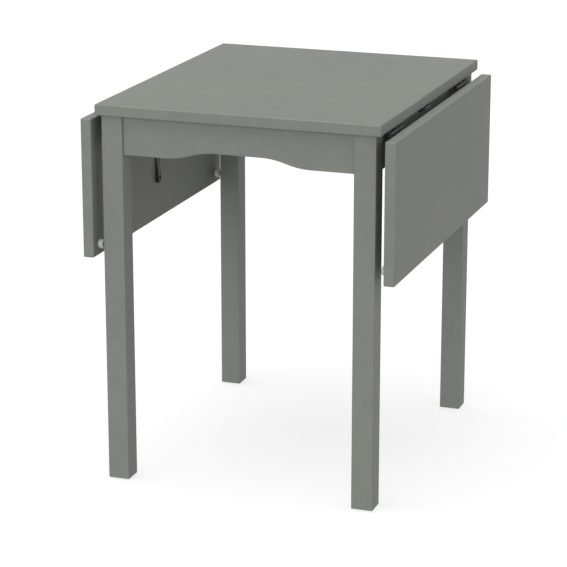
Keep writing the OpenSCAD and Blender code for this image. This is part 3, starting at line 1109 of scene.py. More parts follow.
@dataclass
class Fasteners:
    """All the screws, bolts, nuts, washers and hinge pins."""

    thread_pitch: float = 1.25 * MM
    thread_depth: float = 0.65 * MM
    bolt_steps: int = 20
    washer_steps: int = 36
    pin_steps: int = 24
    bolt_radius: float = 4.0 * MM
    bolt_hidden: float = 26.0 * MM
    bolt_chamfer: float = 0.8 * MM
    washer_inner: float = 4.2 * MM
    washer_outer: float = 8.0 * MM
    nut_face: float = 6.1 * MM
    nut_bore: float = 4.03 * MM
    washer_ease: float = 0.25 * MM
    nut_corner: float = 7.5 * MM
    nut_lead: float = 0.4 * MM
    nut_flat_ease: float = 0.3 * MM
    nut_chamfer: float = math.tan(math.radians(30.0))
    pin_radius: float = 2.0 * MM
    pin_dome: float = 0.5 * MM
    pin_crown: float = 0.12 * MM

    def screws(self, name: str, node: str, body: str, head: Head) -> None:
        """Makes the screws of one node as one piece.

        Args:
            name: The piece's name.
            node: The CAD node.
            body: The body that they ride on.
            head: The form of their heads.
        """
        shape = Shape()
        CrossScrew(head).add(shape, seats(node))
        shape.piece(name, body, ZINC, node)

    def bolts(self) -> None:
        """Hanger bolts with a rolled thread from the leg to the free end."""
        shape = Shape()
        for seat in seats("hanger_bolts", diagonal=True):
            root = self.bolt_radius - self.thread_depth
            profile = [(0.0, 0.0), (self.bolt_radius, 0.0), (self.bolt_radius, self.bolt_hidden)]
            height = self.bolt_hidden + self.thread_pitch / 2
            while height < seat.length - self.bolt_chamfer - self.thread_pitch:
                profile += [(root, height), (self.bolt_radius, height + self.thread_pitch / 2)]
                height += self.thread_pitch
            profile += [(root, seat.length), (0.0, seat.length)]
            shape.turned(profile, seat.place, self.bolt_steps)
        shape.piece("hanger_bolt_set", "frame", ZINC, "hanger_bolts")

    def washers(self) -> None:
        """Flat washers with eased rims."""
        shape = Shape()
        for seat in seats("hanger_washers", diagonal=True):
            ease, thick = self.washer_ease, seat.length
            inner, outer = self.washer_inner, self.washer_outer
            profile = [
                (inner, 0.0), (outer - ease, 0.0), (outer, ease), (outer, thick - ease),
                (outer - ease, thick), (inner + ease, thick), (inner, thick - ease),
            ]
            shape.turned(profile, seat.place, self.washer_steps, ring=True)
        shape.piece("hanger_washer_set", "frame", ZINC, "hanger_washers")

    def nuts(self) -> None:
        """Hexagon nuts, chamfered at both faces."""
        shape = Shape()
        places = seats("hanger_nuts", diagonal=True)
        high = places[0].length
        flat = self.nut_corner * math.cos(SIXTH_TURN / 2)

        def hexagon(angle: float) -> float:
            """The radius of the hexagon at an angle."""
            return flat / math.cos(angle % SIXTH_TURN - SIXTH_TURN / 2)

        def slope(radius: float) -> float:
            """How far the chamfer has dropped at a radius."""
            beyond = radius - self.nut_face - self.nut_flat_ease
            return max(0.0, beyond) * self.nut_chamfer

        lead, bore = self.nut_lead, self.nut_bore
        first = shape.circle((0.0, 0.0), bore, HOLE_STEPS)
        rim = shape.grow_rim(first, bore + lead, -lead)
        bmesh.ops.translate(shape.bm, vec=(0.0, 0.0, lead), verts=shape.all)
        for radius, height in (
            (self.nut_face, 0.0), (hexagon, slope), (hexagon, lambda r: high - slope(r)),
            (self.nut_face, high), (bore + lead, high), (bore, high - lead),
        ):
            rim = shape.grow_rim(rim, radius, height)
        bmesh.ops.bridge_loops(shape.bm, edges=first + rim)
        shape.repeat(shape.all, [seat.place for seat in places])
        shape.piece("hanger_nut_set", "frame", ZINC, "hanger_nuts")

    def pins(self) -> None:
        """Hinge pins with domed ends."""
        shape = Shape()
        for seat in seats("hinge_pins"):
            dome, radius, length = self.pin_dome, self.pin_radius, seat.length
            profile = [
                (0.0, 0.0), (radius - dome, self.pin_crown), (radius, dome),
                (radius, length - dome), (radius - dome, length - self.pin_crown), (0.0, length),
            ]
            shape.turned(profile, seat.place, self.pin_steps)
        shape.piece("hinge_pin_set", "frame", BLACK, "hinge_pins")

    def make(self) -> None:
        """Makes every fastener of the table."""
        self.bolts()
        self.washers()
        self.nuts()
        self.pins()
        for name, node, head in (
            ("brace_screw_set", "corner_screws", Head.PAN),
            ("fixing_screw_set", "top_bracket_screws", Head.PAN),
            ("guide_screw_set", "bar_guide_screws", Head.PAN),
            ("hinge_plate_screw_set", "hinge_plate_screws", Head.FLAT),
        ):
            self.screws(name, node, "frame", head)
        for side in Side:
            for name, node, head in (
                ("flap_screw_set", "hinge_flap_screws", Head.FLAT),
                ("wedge_screw_pair", "wedge_screws", Head.PAN),
                ("bumper_screw_pair", "bumper_screws", Head.PAN),
            ):
                self.screws(f"{name}_{side.word}", f"{node}_{side.word}", side.leaf, head)


# ---------------------------------------------------------------------------
# Timber
# ---------------------------------------------------------------------------


@dataclass
class Boards:
    """The fixed top and the two leaves: painted boards with rounded edges."""

    edge_radius: float = 2.5 * MM
    edge_facets: int = 5

    def board(self, name: str, node: str, body: str) -> None:
        """Makes one board in the space of its node.

        Args:
            name: The piece's name.
            node: The CAD node.
            body: The body that it rides on.
        """
        shape = Shape()
        verts = shape.block(*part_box(node))
        shape.soften(shape.edges_of(verts), self.edge_radius, self.edge_facets)
        shape.piece(name, body, PAINT, node)

    def make(self) -> None:
        """Makes the top and both leaves."""
        self.board("top_board", "table_top", "frame")
        for side in Side:
            self.board(f"leaf_board_{side.word}", f"leaf_{side.word}", side.leaf)


@dataclass
class Legs:
    """Four square legs with rounded arrises and a chamfered foot."""

    arris: float = 2.0 * MM
    foot_chamfer: float = 1.2 * MM

    def make(self) -> None:
        """Makes the legs."""
        for side, end in CORNERS:
            word = f"{end.word}_{side.word}"
            low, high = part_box(f"leg_{word}")
            shape = Shape()
            verts = shape.block(low, high)
            upright = [e for e in shape.edges_of(verts) if run(e, Z) > MM]
            shape.soften(upright, self.arris, 4)
            foot = [e for e in shape.bm.edges if all(v.co.z < low.z + NEAR for v in e.verts)]
            shape.soften(foot, self.foot_chamfer, 2)
            shape.piece(f"square_leg_{word}", "frame", PAINT, f"leg_{word}")


@dataclass
class Aprons:
    """Scalloped aprons front and rear, and notched rails along the sides."""

    flat_half: float = 45.0 * MM
    scallop_end: float = 145.0 * MM
    columns: int = 110
    ease: float = 1.5 * MM
    deep: float = 75.0 * MM
    shallow: float = 59.0 * MM
    hinge_notch: float = 2.8 * MM
    hinge_clear: float = 1.0 * MM
    sleeve_notch: float = 11.1 * MM
    sleeve_half: float = 16.8 * MM

    def depth(self, x: float) -> float:
        """The apron's depth at a distance from the middle of the table.

        Args:
            x: The distance along the apron.

        Returns:
            The depth below the top edge, along two equal arcs that meet in an S.
        """
        x = abs(x)
        run, rise = self.scallop_end - self.flat_half, self.deep - self.shallow
        radius = (run * run + rise * rise) / (4 * rise)
        if x <= self.flat_half:
            return self.shallow
        if x >= self.scallop_end:
            return self.deep
        if x < self.flat_half + run / 2:
            return self.shallow + radius - math.sqrt(radius**2 - (x - self.flat_half) ** 2)
        return self.deep - radius + math.sqrt(radius**2 - (self.scallop_end - x) ** 2)

    def scalloped(self, end: End) -> None:
        """Makes the apron of one end.

        Args:
            end: The end.
        """
        low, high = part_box(f"apron_{end.word}")
        shape = Shape()
        net = bmesh.ops.create_grid(
            shape.bm, x_segments=self.columns, y_segments=1, size=1.0
        )["verts"]
        for vert in net:
            x = vert.co.x * high.x
            vert.co = (x, low.y, high.z if vert.co.y > 0 else high.z - self.depth(x))
        shape.draw_out(list(shape.bm.faces), (0.0, high.y - low.y, 0.0))
        middle = high.z - self.shallow / 2
        lower = shape.sharp(
            shape.bm.verts, lambda e: run(e, X) > MM and all(v.co.z < middle for v in e.verts)
        )
        shape.soften(lower, self.ease, 3)
        shape.piece(f"scalloped_apron_{end.word}", "frame", PAINT, f"apron_{end.word}")

    def rail(self, side: Side) -> None:
        """Makes the notched rail of one side.

        Args:
            side: The side.
        """
        low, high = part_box(f"apron_{side.word}")
        hinge_floor, sleeve_floor = high.z - self.hinge_notch, high.z - self.sleeve_notch
        bar_low, bar_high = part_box(f"support_bar_{side.word}")
        bar_y = (bar_low.y + bar_high.y) / 2
        notches = [(bar_y - self.sleeve_half, bar_y + self.sleeve_half, sleeve_floor)]
        for end in End:
            first, last = (v.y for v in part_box(f"hinge_plate_{end.word}_{side.word}"))
            notches.append((first - self.hinge_clear, last + self.hinge_clear, hinge_floor))
        outline = [(high.y, high.z), (high.y, low.z), (low.y, low.z), (low.y, high.z)]
        for first, last, floor in sorted(notches):
            outline += [(first, high.z), (first, floor), (last, floor), (last, high.z)]
        shape = Shape()
        verts = shape.prism(outline, high.x - low.x, section(low.x, 0.0, 0.0))
        lower = [e for e in shape.edges_of(verts) if all(v.co.z < low.z + MM for v in e.verts)]
        shape.soften([e for e in lower if run(e, Y) > MM], self.ease)
        shape.piece(f"notched_rail_{side.word}", "frame", PAINT, f"apron_{side.word}")

    def make(self) -> None:
        """Makes the four aprons."""
        for end in End:
            self.scalloped(end)
        for side in Side:
            self.rail(side)


# ---------------------------------------------------------------------------
# Frame hardware
# ---------------------------------------------------------------------------


@dataclass
class CornerBraces:
    """Bent steel plates across the corners of the frame."""

    thick: float = 2.5 * MM
    cut: float = 58.0 * MM
    reach: float = 84.0 * MM
    bend: float = 5.0 * MM
    corner: float = 6.0 * MM
    ease: float = 0.4 * MM

    def make(self) -> None:
        """Makes the four braces."""
        for side, end in CORNERS:
            self.brace(side, end)

    def brace(self, side: Side, end: End) -> None:
        """Makes the brace of one corner.

        Args:
            side: The corner's side.
            end: The corner's end.
        """
        word = f"{end.word}_{side.word}"
        low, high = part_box(f"corner_plate_{word}")
        face_x = high.x if side is Side.RIGHT else low.x
        face_y = high.y if end is End.REAR else low.y
        shape = Shape()
        path = [(self.reach, 0.0), (self.cut, 0.0), (0.0, self.cut), (0.0, self.reach)]
        verts = [shape.bm.verts.new((a, b, 0.0)) for a, b in path]
        edges = [shape.bm.edges.new(pair) for pair in zip(verts, verts[1:])]
        shape.drag(edges, (0.0, 0.0, high.z - low.z))
        bends = [e for e in shape.bm.edges if not e.is_boundary and run(e, Z) > MM]
        shape.soften(bends, self.bend, CORNER_STEPS)
        ends = [v for v in shape.bm.verts if max(v.co.x, v.co.y) > self.reach - NEAR]
        bmesh.ops.bevel(
            shape.bm, geom=ends, offset=self.corner, segments=CORNER_STEPS, profile=0.5,
            affect="VERTICES", material=-1,
        )
        shape.unmark(shape.bm.verts)
        first = max(shape.bm.faces, key=lambda f: f.calc_center_median().x)
        first.normal_update()
        if first.normal.y > 0:
            bmesh.ops.reverse_faces(shape.bm, faces=shape.bm.faces)
        bmesh.ops.solidify(shape.bm, geom=list(shape.bm.faces), thickness=self.thick)
        shape.soften(shape.sharp(shape.all), self.ease, 2)
        place = axes((-side.value, 0, 0), (0, -end.value, 0), (0, 0, 1), (face_x, face_y, low.z))
        bmesh.ops.transform(shape.bm, matrix=place, verts=shape.bm.verts)
        shape.piece(f"corner_brace_{word}", "frame", ZINC, f"corner_plate_{word}")


@dataclass
class TopBrackets:
    """Small angle brackets between the aprons and the top."""

    thick: float = 2.0 * MM
    bend: float = 2.6 * MM
    inner_bend: float = 0.8 * MM
    corner: float = 4.0 * MM
    ease: float = 0.35 * MM
    rail_zone: float = 30.0 * MM

    def make(self) -> None:
        """Makes all the brackets as one piece."""
        shape = Shape()
        for points in solids("top_brackets"):
            self.bracket(shape, *box_of(points))
        shape.piece("angle_bracket_set", "frame", ZINC, "top_brackets")

    def bracket(self, shape: Shape, low: Vector, high: Vector) -> None:
        """Makes one bracket.

        Args:
            shape: The mesh that takes it.
            low: The bracket's lowest corner.
            high: Its highest corner.
        """
        middle = (low + high) / 2
        if abs(middle.x) > abs(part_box("top_brackets")[0].x) - self.rail_zone:
            inward = Vector((-math.copysign(1.0, middle.x), 0.0, 0.0))
        else:
            inward = Vector((0.0, -math.copysign(1.0, middle.y), 0.0))
        across = Vector((0, 0, 1)).cross(inward)
        reach = high.z - low.z
        wide = abs((high - low).dot(across))
        start = middle - inward * reach / 2 - across * wide / 2
        start.z = high.z
        place = axes(inward, (0, 0, 1), across, start)
        thick = self.thick
        outline = [
            (0.0, 0.0), (0.0, -reach), (thick, -reach), (thick, -thick), (reach, -thick),
            (reach, 0.0),
        ]
        verts = shape.prism(outline, wide, Matrix.Identity(4))
        lines = [e for e in shape.edges_of(verts) if run(e, Z) > wide / 2]
        outer = [e for e in lines if e.verts[0].co.xy.length < NEAR]
        fold = Vector((thick, -thick))
        inner = [e for e in lines if (e.verts[0].co.xy - fold).length < NEAR]
        known = set(shape.bm.verts) - set(verts)
        shape.soften(outer, self.bend, 4)
        shape.soften(inner, self.inner_bend, 3)
        tips = [
            e for e in shape.edges_of(shape.since(known))
            if e.calc_length() < thick + NEAR and run(e, Z) < NEAR
            and min(max(v.co.x, -v.co.y) for v in e.verts) > reach - NEAR
        ]
        shape.soften(tips, self.corner, 4)
        verts = shape.since(known)
        shape.unmark(verts)
        shape.soften(shape.sharp(verts), self.ease, 2)
        bmesh.ops.transform(shape.bm, matrix=place, verts=shape.since(known))


@dataclass
class FootGlides:
    """Round plastic glides under the legs."""

    ease: float = 0.9 * MM
    steps: int = 40
    ease_in: float = 0.25 * MM
    ease_up: float = 0.28 * MM
    stem: float = 2.5 * MM
    stem_lead: float = 1.0 * MM
    disc: float = 14.0 * MM
    thick: float = 2.5 * MM

    def make(self) -> None:
        """Makes the glides as one piece."""
        shape = Shape()
        for points in solids("foot_glides"):
            low, high = box_of(points)
            middle = (low + high) / 2
            middle.z = 0.0
            disc, stem, lead = self.disc, self.stem, self.stem_lead
            profile = [
                (0.0, 0.0), (disc - self.ease, 0.0), (disc - self.ease_in, self.ease_up),
                (disc, self.ease), (disc, self.thick), (stem, self.thick),
                (stem, high.z - lead), (stem - lead, high.z), (0.0, high.z),
            ]
            shape.turned(profile, Matrix.Translation(middle), self.steps)
        shape.piece("foot_glide_set", "frame", PLASTIC, "foot_glides")


@dataclass
class Dowels:
    """Beech dowels inside the joints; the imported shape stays."""

    def make(self) -> None:
        """Gives the dowels their finish."""
        dress_node("apron_dowels", BEECH)


def dress_node(node: str, finish: Finish) -> None:
    """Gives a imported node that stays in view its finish.

    Args:
        node: The node's name.
        finish: The finish.
    """
    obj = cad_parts[node]
    obj.data.materials.clear()
    obj.data.materials.append(finish.material())
    LOG.info("%s keeps its packed shape", node)


# ---------------------------------------------------------------------------
# Hinges
# ---------------------------------------------------------------------------


@dataclass
class Hinges:
    """Two black hinges on each side, with rolled knuckles round a black pin."""

    roll_steps: int = 22
    width: float = 42.0 * MM
    thick: float = 2.4 * MM
    drop: float = 7.0 * MM
    barrel: float = 4.3 * MM
    wall: float = 2.1 * MM
    knuckles: int = 5
    gap: float = 0.3 * MM
    join: float = 7.0 * MM
    corner: float = 5.0 * MM
    bend: float = 1.4 * MM
    ease: float = 0.4 * MM
    hole: float = 3.95 * MM
    holes: tuple[tuple[float, float], ...] = ((-0.027, 0.030), (0.0, 0.018), (0.027, 0.030))
    roll: float = math.radians(294.0)

    def half(self, name: str, body: str, node: str, place: Matrix, long: float, first: int) -> None:
        """Makes one half of a hinge.

        Args:
            name: The piece's name.
            body: The body that it rides on.
            node: The CAD node.
            place: The frame of the pin, with the plate at +Z and reaching along -X.
            long: The length along the pin.
            first: The first knuckle that belongs to this half.
        """
        shape = Shape()
        far, join, half = -self.width, -self.join, long / 2
        outline = [(far, -half), (join, -half), (join, half), (far, half)]
        holes = [(-away, along, self.hole) for along, away in self.holes]
        level = Matrix.Translation((0, 0, self.drop - self.thick))
        verts = shape.pierced(outline, holes, self.thick, level)
        free = shape.sharp(verts, lambda e: run(e, Z) > MM and e.verts[0].co.x < far + MM)
        shape.soften(free, self.corner, CORNER_STEPS)
        shape.unmark(shape.bm.verts)
        rims = shape.sharp(shape.all, lambda e: not all(v.co.x > join - NEAR for v in e.verts))
        shape.soften(rims, self.ease, 2)
        pitch = long / self.knuckles
        for index in range(first, self.knuckles, 2):
            start = index * pitch - half + self.gap / 2
            self.knuckle(shape, start, start + pitch - self.gap)
        bmesh.ops.transform(shape.bm, matrix=place, verts=shape.bm.verts)
        shape.piece(name, body, BLACK, node)

    def knuckle(self, shape: Shape, start: float, stop: float) -> None:
        """Bends a strap down from the plate and rolls it round the pin.

        Args:
            shape: The mesh that takes it.
            start: Where the knuckle begins along the pin.
            stop: Where it ends.
        """
        known = set(shape.bm.verts)
        inner = self.barrel - self.wall
        edge = shape.bm.edges.new(
            [shape.bm.verts.new((-self.join, y, self.drop)) for y in (start, stop)]
        )
        for step in ((self.join - inner, 0.0, 0.0), (0.0, 0.0, -self.drop)):
            edge = shape.edges_of(shape.drag([edge], step))[0]
        bmesh.ops.spin(
            shape.bm, geom=[*edge.verts, edge], cent=(0, 0, 0), axis=(0, 1, 0), dvec=(0, 0, 0),
            angle=-self.roll, space=Matrix.Identity(4), steps=self.roll_steps,
            use_merge=False, use_normal_flip=False, use_duplicate=False,
        )
        verts = shape.since(known)
        faces = once(f for v in verts for f in v.link_faces)
        bmesh.ops.recalc_face_normals(shape.bm, faces=faces)
        crook = Vector((-inner, self.drop))
        bend = [
            e for e in shape.edges_of(verts)
            if all((v.co.xz - crook).length < NEAR / 10 for v in e.verts)
        ]
        shape.soften(bend, self.bend, 4)
        verts = shape.since(known)
        shape.unmark(verts)
        faces = once(f for v in verts for f in v.link_faces)
        flat = min(faces, key=lambda f: f.calc_center_median().x)
        flat.normal_update()
        if flat.normal.z < 0:
            bmesh.ops.reverse_faces(shape.bm, faces=faces)
        bmesh.ops.solidify(shape.bm, geom=faces, thickness=self.wall)
        edge_x = -self.join + NEAR
        rims = shape.sharp(
            shape.since(known), lambda e: not all(v.co.x < edge_x for v in e.verts)
        )
        shape.soften(rims, self.ease, 2)

    def make(self) -> None:
        """Makes both halves of all four hinges."""
        for points in solids("hinge_pins"):
            pin = group_middle(points)
            side = Side.RIGHT if pin.x > 0 else Side.LEFT
            end = End.FRONT if pin.y < 0 else End.REAR
            word = f"{end.word}_{side.word}"
            low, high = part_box(f"hinge_plate_{word}")
            long = high.y - low.y
            here = Matrix.Translation(pin) @ mirrored(side)
            self.half(f"hinge_leaf_{word}", "frame", f"hinge_plate_{word}", here, long, 0)
            hang = here @ axes((0, 0, 1), (0, 1, 0), (1, 0, 0), (0, 0, 0))
            self.half(f"hinge_strap_{word}", side.leaf, f"hinge_flap_{word}", hang, long, 1)


# ---------------------------------------------------------------------------
# Bars and what carries them
# ---------------------------------------------------------------------------


@dataclass
class SupportBars:
    """A flat steel bar on each side, with its sleeve, guide and knob."""

    ease: float = 0.7 * MM
    taper: float = 40.0 * MM
    tip_drop: float = 4.0 * MM
    nose: float = 3.0 * MM
    channel_half: float = 13.4 * MM
    wall: float = 3.1 * MM
    channel_floor: float = 7.2 * MM
    floor: float = 3.4 * MM
    flange: float = 4.0 * MM
    flange_round: float = 6.0 * MM
    top_gap: float = 0.3 * MM
    guide_wall: float = 4.0 * MM
    guide_ease: float = 0.5 * MM
    ear: float = 3.0 * MM
    ear_round: float = 5.0 * MM
    belly_round: float = 2.5 * MM
    plastic_ease: float = 0.6 * MM
    knob_base: Profile = (
        (-2.5 * MM, 0.0), (-2.5 * MM, 4.0 * MM), (-2.1 * MM, 4.9 * MM), (-0.5 * MM, 6.6 * MM),
        (0.0, 7.4 * MM),
    )
    knob_crown: Profile = ((0.0, -2.2 * MM), (-0.6 * MM, -0.8 * MM), (-2.0 * MM, 0.0))
    dish_share: float = 0.4
    dish_rim: float = 0.3 * MM
    dish: float = 0.4 * MM
    ribs: int = 20
    rib_steps: int = 4
    rib_zone: float = 0.7 * MM
    rib_depth: float = 0.55 * MM

    def bar(self, side: Side) -> None:
        """Makes the bar of one side.

        Args:
            side: The side.
        """
        low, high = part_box(f"support_bar_{side.word}")
        long, deep = high.x - low.x, high.z - low.z
        tip = high.x if side is Side.RIGHT else -low.x
        outline = [
            (-long, 0.0), (-long, -deep), (0.0, -deep), (0.0, -self.tip_drop), (-self.taper, 0.0),
        ]
        shape = Shape()
        place = mirrored(side) @ axes((1, 0, 0), (0, 0, 1), (0, -1, 0), (tip, high.y, high.z))
        verts = shape.prism(outline, high.y - low.y, place)
        front = side.value * tip
        nose = [
            e for e in shape.edges_of(verts)
            if run(e, Z) > MM and all(abs(v.co.x - front) < NEAR for v in e.verts)
        ]
        shape.soften(nose, self.nose, 4)
        shape.soften(shape.sharp(shape.all), self.ease, 3)
        shape.piece(f"flat_bar_{side.word}", f"{side.word}_bar", STEEL, f"support_bar_{side.word}")

    def knob(self, side: Side) -> None:
        """Makes the ribbed knob under one bar.

        Args:
            side: The side.
        """
        low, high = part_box(f"bar_knob_{side.word}")
        middle = (low + high) / 2
        radius, tall = (high.x - low.x) / 2, high.z - low.z
        profile = [
            (0.0, 0.0),
            *((radius + out, up) for out, up in self.knob_base),
            *((radius + out, tall + up) for out, up in self.knob_crown),
            (radius * self.dish_share, tall - self.dish_rim), (0.0, tall - self.dish),
        ]
        shape = Shape()
        steps = self.ribs * self.rib_steps
        verts = shape.turned(profile, Matrix.Identity(4), steps)
        for vert in verts:
            spread = vert.co.xy.length
            turn = round(math.atan2(vert.co.y, vert.co.x) / FULL_TURN * steps) % self.rib_steps
            if spread > radius - self.rib_zone and turn == 0:
                vert.co.xy *= 1.0 - self.rib_depth / spread
        place = Matrix.Translation((middle.x, middle.y, high.z)) @ Matrix.Rotation(math.pi, 4, "X")
        bmesh.ops.transform(shape.bm, matrix=place, verts=verts)
        word = side.word
        shape.piece(f"ribbed_knob_{word}", f"{word}_bar", PLASTIC, f"bar_knob_{word}")

    def channel(
        self, shape: Shape, half: float, bottom: float, deep: float, place: Matrix
    ) -> list[Vert]:
        """A U-shaped channel round the bar.

        Args:
            shape: The mesh that takes it.
            half: Half the outer width.
            bottom: The depth of the outer bottom.
            deep: The length along the bar.
            place: Where the channel's section lies.

        Returns:
            The vertices of the channel.
        """
        inner, top, bed = self.channel_half, self.top_gap, self.channel_floor
        outline = [
            (-half, -top), (-half, -bottom), (half, -bottom), (half, -top),
            (inner, -top), (inner, -bed), (-inner, -bed), (-inner, -top),
        ]
        return shape.prism(outline, deep, place)

    def sleeve(self, side: Side) -> None:
        """Makes the sleeve through the rail of one side.

        Args:
            side: The side.
        """
        low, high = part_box(f"bar_sleeve_{side.word}")
        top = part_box("table_top")[0].z
        bar_y = (low.y + high.y) / 2
        outer = high.x if side is Side.RIGHT else -low.x
        shape = Shape()
        face = outer - self.flange
        inside = (high.x - low.x) - self.flange
        half, bottom = self.channel_half + self.wall, self.channel_floor + self.floor
        place = mirrored(side) @ section(face - inside, bar_y, top)
        body = self.channel(shape, half, bottom, inside, place)
        joint = side.value * face
        rims = shape.sharp(body, lambda e: not all(abs(v.co.x - joint) < NEAR for v in e.verts))
        shape.soften(rims, self.plastic_ease, 2)
        known = set(shape.bm.verts)
        place = mirrored(side) @ section(face, bar_y, top)
        plate = self.channel(shape, (high.y - low.y) / 2, top - low.z, self.flange, place)
        corners = shape.sharp(
            plate, lambda e: run(e, X) > MM and e.verts[0].co.z < low.z + NEAR
        )
        shape.soften(corners, self.flange_round, CORNER_STEPS)
        shape.soften(shape.sharp(shape.since(known)), self.plastic_ease, 2)
        shape.piece(f"bar_sleeve_moulding_{side.word}", "frame", PLASTIC, f"bar_sleeve_{side.word}")

    def guide(self, side: Side) -> None:
        """Makes the saddle that carries the inner part of one bar.

        Args:
            side: The side.
        """
        low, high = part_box(f"bar_guide_{side.word}")
        wide, inner = (high.y - low.y) / 2, self.channel_half
        half, bottom = inner + self.guide_wall, high.z - low.z
        outline = [
            (-wide, 0.0), (-wide, -self.ear), (-half, -self.ear), (-half, -bottom), (half, -bottom),
            (half, -self.ear), (wide, -self.ear), (wide, 0.0), (inner, 0.0),
            (inner, -self.channel_floor), (-inner, -self.channel_floor), (-inner, 0.0),
        ]
        shape = Shape()
        place = section(low.x, (low.y + high.y) / 2, high.z)
        verts = shape.prism(outline, high.x - low.x, place)
        ears = [
            e for e in shape.edges_of(verts)
            if run(e, Z) > MM
            and all(v.co.y < low.y + NEAR or v.co.y > high.y - NEAR for v in e.verts)
        ]
        shape.soften(ears, self.ear_round, 4)
        belly = shape.sharp(
            shape.all,
            lambda e: run(e, X) > MM and all(v.co.z < low.z + NEAR for v in e.verts),
        )
        shape.soften(belly, self.belly_round, 4)
        shape.soften(shape.sharp(shape.all), self.guide_ease, 2)
        shape.piece(f"bar_saddle_{side.word}", "frame", PLASTIC, f"bar_guide_{side.word}")

    def make(self) -> None:
        """Makes the bars and their mouldings."""
        for side in Side:
            self.bar(side)
            self.knob(side)
            self.sleeve(side)
            self.guide(side)
            dress_node(f"knob_screw_{side.word}", ZINC)


# ---------------------------------------------------------------------------
# What the leaves carry
# ---------------------------------------------------------------------------


@dataclass
class LeafFittings:
    """A levelling wedge and two bumpers on the inner face of each leaf."""

    thin: float = 0.4 * MM
    well: float = 3.9 * MM
    long_edge: float = 8.0 * MM
    well_floor: float = 1.5 * MM
    ease: float = 0.35 * MM
    bumper_steps: int = 48
    bumper_bore: float = 2.05 * MM
    bumper_well: float = 4.6 * MM
    bumper_seat: float = 4.0 * MM
    bumper_round: float = 2.0 * MM
    bumper_lead: float = 0.4 * MM
    groove: Profile = (
        (0.0, 5.2 * MM), (-0.5 * MM, 5.7 * MM), (-0.5 * MM, 6.3 * MM), (0.0, 6.8 * MM),
    )
    mouth: Profile = ((0.6 * MM, 0.0), (0.15 * MM, -0.2 * MM), (0.0, -0.7 * MM))

    def wedge(self, side: Side) -> None:
        """Makes the wedge of one leaf, with two sunk screw wells.

        Args:
            side: The leaf's side.
        """
        low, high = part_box(f"wedge_{side.word}")
        face_x = high.x if side is Side.RIGHT else low.x
        thick, long, half = high.x - low.x, high.z - low.z, (high.y - low.y) / 2
        rise = (thick - self.thin) / long
        shape = Shape()
        outer = shape.loop([(0.0, -half), (long, -half), (long, half), (0.0, half)])
        wells = []
        for seat in seats(f"wedge_screws_{side.word}"):
            wells += shape.circle((high.z - seat.start.z, 0.0), self.well, HOLE_STEPS)
        for vert in shape.bm.verts:
            vert.co.z = self.thin + rise * vert.co.x
        bmesh.ops.triangle_fill(
            shape.bm, use_beauty=True, edges=outer + wells, normal=(0.0, 0.0, 1.0)
        )
        for edges, depth in ((outer, 0.0), (wells, self.well_floor)):
            rim = verts_in(bmesh.ops.extrude_edge_only(shape.bm, edges=edges)["geom"])
            for vert in rim:
                vert.co.z = depth
            bmesh.ops.edgeloop_fill(shape.bm, edges=shape.edges_of(rim))
        bmesh.ops.recalc_face_normals(shape.bm, faces=shape.bm.faces)
        rims = shape.sharp(shape.all, lambda e: e.calc_length() > self.long_edge)
        shape.soften(rims, self.ease, 2)
        middle_y = (low.y + high.y) / 2
        place = axes((0, 0, -1), (0, 1, 0), (-side.value, 0, 0), (face_x, middle_y, high.z))
        bmesh.ops.transform(shape.bm, matrix=place, verts=shape.bm.verts)
        shape.piece(f"levelling_wedge_{side.word}", side.leaf, PLASTIC, f"wedge_{side.word}")

    def bumpers(self, side: Side) -> None:
        """Makes the two round bumpers of one leaf.

        Args:
            side: The leaf's side.
        """
        node = f"bumpers_{side.word}"
        shape = Shape()
        for points in solids(node):
            low, high = box_of(points)
            middle = (low + high) / 2
            radius, long = (high.z - low.z) / 2, high.x - low.x
            start = Vector((high.x if side is Side.RIGHT else low.x, middle.y, middle.z))
            seat = Seat(start, Vector((-side.value, 0, 0)), long)
            turn, well = self.bumper_round, self.bumper_well
            arc = [
                (radius - turn + turn * math.sin(a), long - turn + turn * math.cos(a))
                for a in (math.radians(d) for d in (90, 67.5, 45, 22.5, 0))
            ]
            profile = [
                (self.bumper_bore, 0.0),
                (radius - self.bumper_lead, 0.0), (radius, self.bumper_lead),
                *((radius + out, up) for out, up in self.groove),
                *arc,
                *((well + out, long + up) for out, up in self.mouth),
                (well, self.bumper_seat), (self.bumper_bore, self.bumper_seat),
            ]
            shape.turned(profile, seat.place, self.bumper_steps, ring=True)
        shape.piece(f"round_bumper_pair_{side.word}", side.leaf, RUBBER, node)

    def make(self) -> None:
        """Makes the fittings of both leaves."""
        for side in Side:
            self.wedge(side)
            self.bumpers(side)


# ---------------------------------------------------------------------------
# Studio
# ---------------------------------------------------------------------------


@dataclass
class Softbox:
    """An even, very soft light from far away."""

    name: str
    way: Colour
    spread: float
    strength: float

    def make(self) -> None:
        """Hangs the light."""
        light = bpy.data.lights.new(self.name, "SUN")
        light.angle = math.radians(self.spread)
        light.energy = self.strength
        obj = bpy.data.objects.new(self.name, light)
        obj.rotation_euler = Vector(self.way).to_track_quat("-Z", "Y").to_euler()
        bpy.context.scene.collection.objects.link(obj)


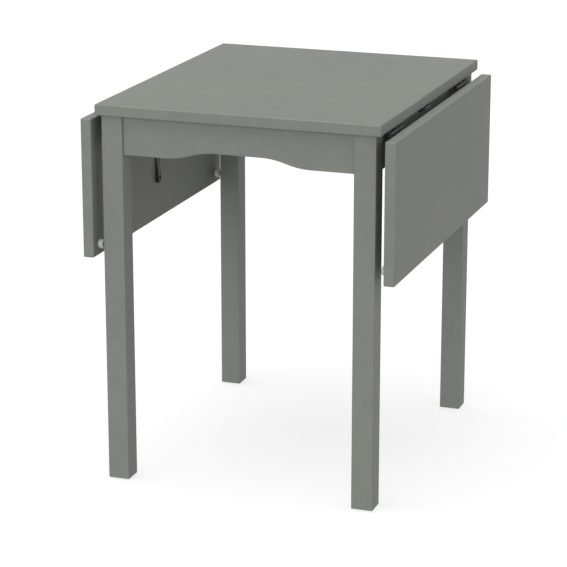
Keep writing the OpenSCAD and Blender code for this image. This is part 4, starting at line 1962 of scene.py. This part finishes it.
@dataclass
class Studio:
    """The floor, the light and the camera."""

    lens: float = 146.15
    sensor: float = 36.0
    spot: Colour = (1.4719, -4.2088, 1.6398)
    yaw: float = 0.3415
    pitch: float = 0.2848
    clip: tuple[float, float] = (0.05, 200.0)
    floor_half: float = 40.0
    sky: float = 0.46
    lights: tuple[Softbox, ...] = (
        Softbox("top_light", (0.20, 0.12, -1.0), 55.0, 1.93),
        Softbox("front_light", (0.05, 0.95, -0.20), 50.0, 1.17),
        Softbox("side_light", (-0.9, 0.3, -0.3), 50.0, 0.28),
    )

    def floor(self) -> None:
        """Lays the floor at the height that the table stands on; it throws no light back up."""
        sheet = bmesh.new()
        bmesh.ops.create_grid(sheet, x_segments=4, y_segments=4, size=self.floor_half)
        bmesh.ops.translate(sheet, vec=(0.0, 0.0, CAD_BOX[0].z), verts=sheet.verts)
        mesh = bpy.data.meshes.new("studio_floor")
        sheet.to_mesh(mesh)
        sheet.free()
        mesh.materials.append(StudioFloor().material())
        obj = bpy.data.objects.new("studio_floor", mesh)
        obj.visible_diffuse = False
        bpy.context.scene.collection.objects.link(obj)

    def light(self) -> None:
        """Sets the even light of the room and hangs the soft lights."""
        world = bpy.data.worlds.new("studio_world")
        world.use_nodes = True
        back = world.node_tree.nodes["Background"]
        back.inputs["Color"].default_value = (1.0, 1.0, 1.0, 1.0)
        back.inputs["Strength"].default_value = self.sky
        bpy.context.scene.world = world
        for light in self.lights:
            light.make()

    def camera(self) -> None:
        """Sets up the camera."""
        data = bpy.data.cameras.new("studio_camera")
        data.sensor_width = self.sensor
        data.lens = self.lens
        data.clip_start, data.clip_end = self.clip
        obj = bpy.data.objects.new("studio_camera", data)
        obj.location = self.spot
        obj.rotation_euler = (math.pi / 2 - self.pitch, 0.0, self.yaw)
        bpy.context.scene.collection.objects.link(obj)
        bpy.context.scene.camera = obj

    def make(self) -> None:
        """Makes the whole studio."""
        bpy.context.scene.view_settings.view_transform = "Standard"
        self.floor()
        self.light()
        self.camera()


def main() -> None:
    """Builds the table and the studio."""
    logging.basicConfig(level=logging.INFO, format="%(message)s")
    parts = (
        Boards(), Legs(), Aprons(), CornerBraces(), TopBrackets(), FootGlides(), Dowels(),
        Hinges(), SupportBars(), LeafFittings(), Fasteners(), Studio(),
    )
    for part in parts:
        part.make()


if __name__ == "__main__":
    main()
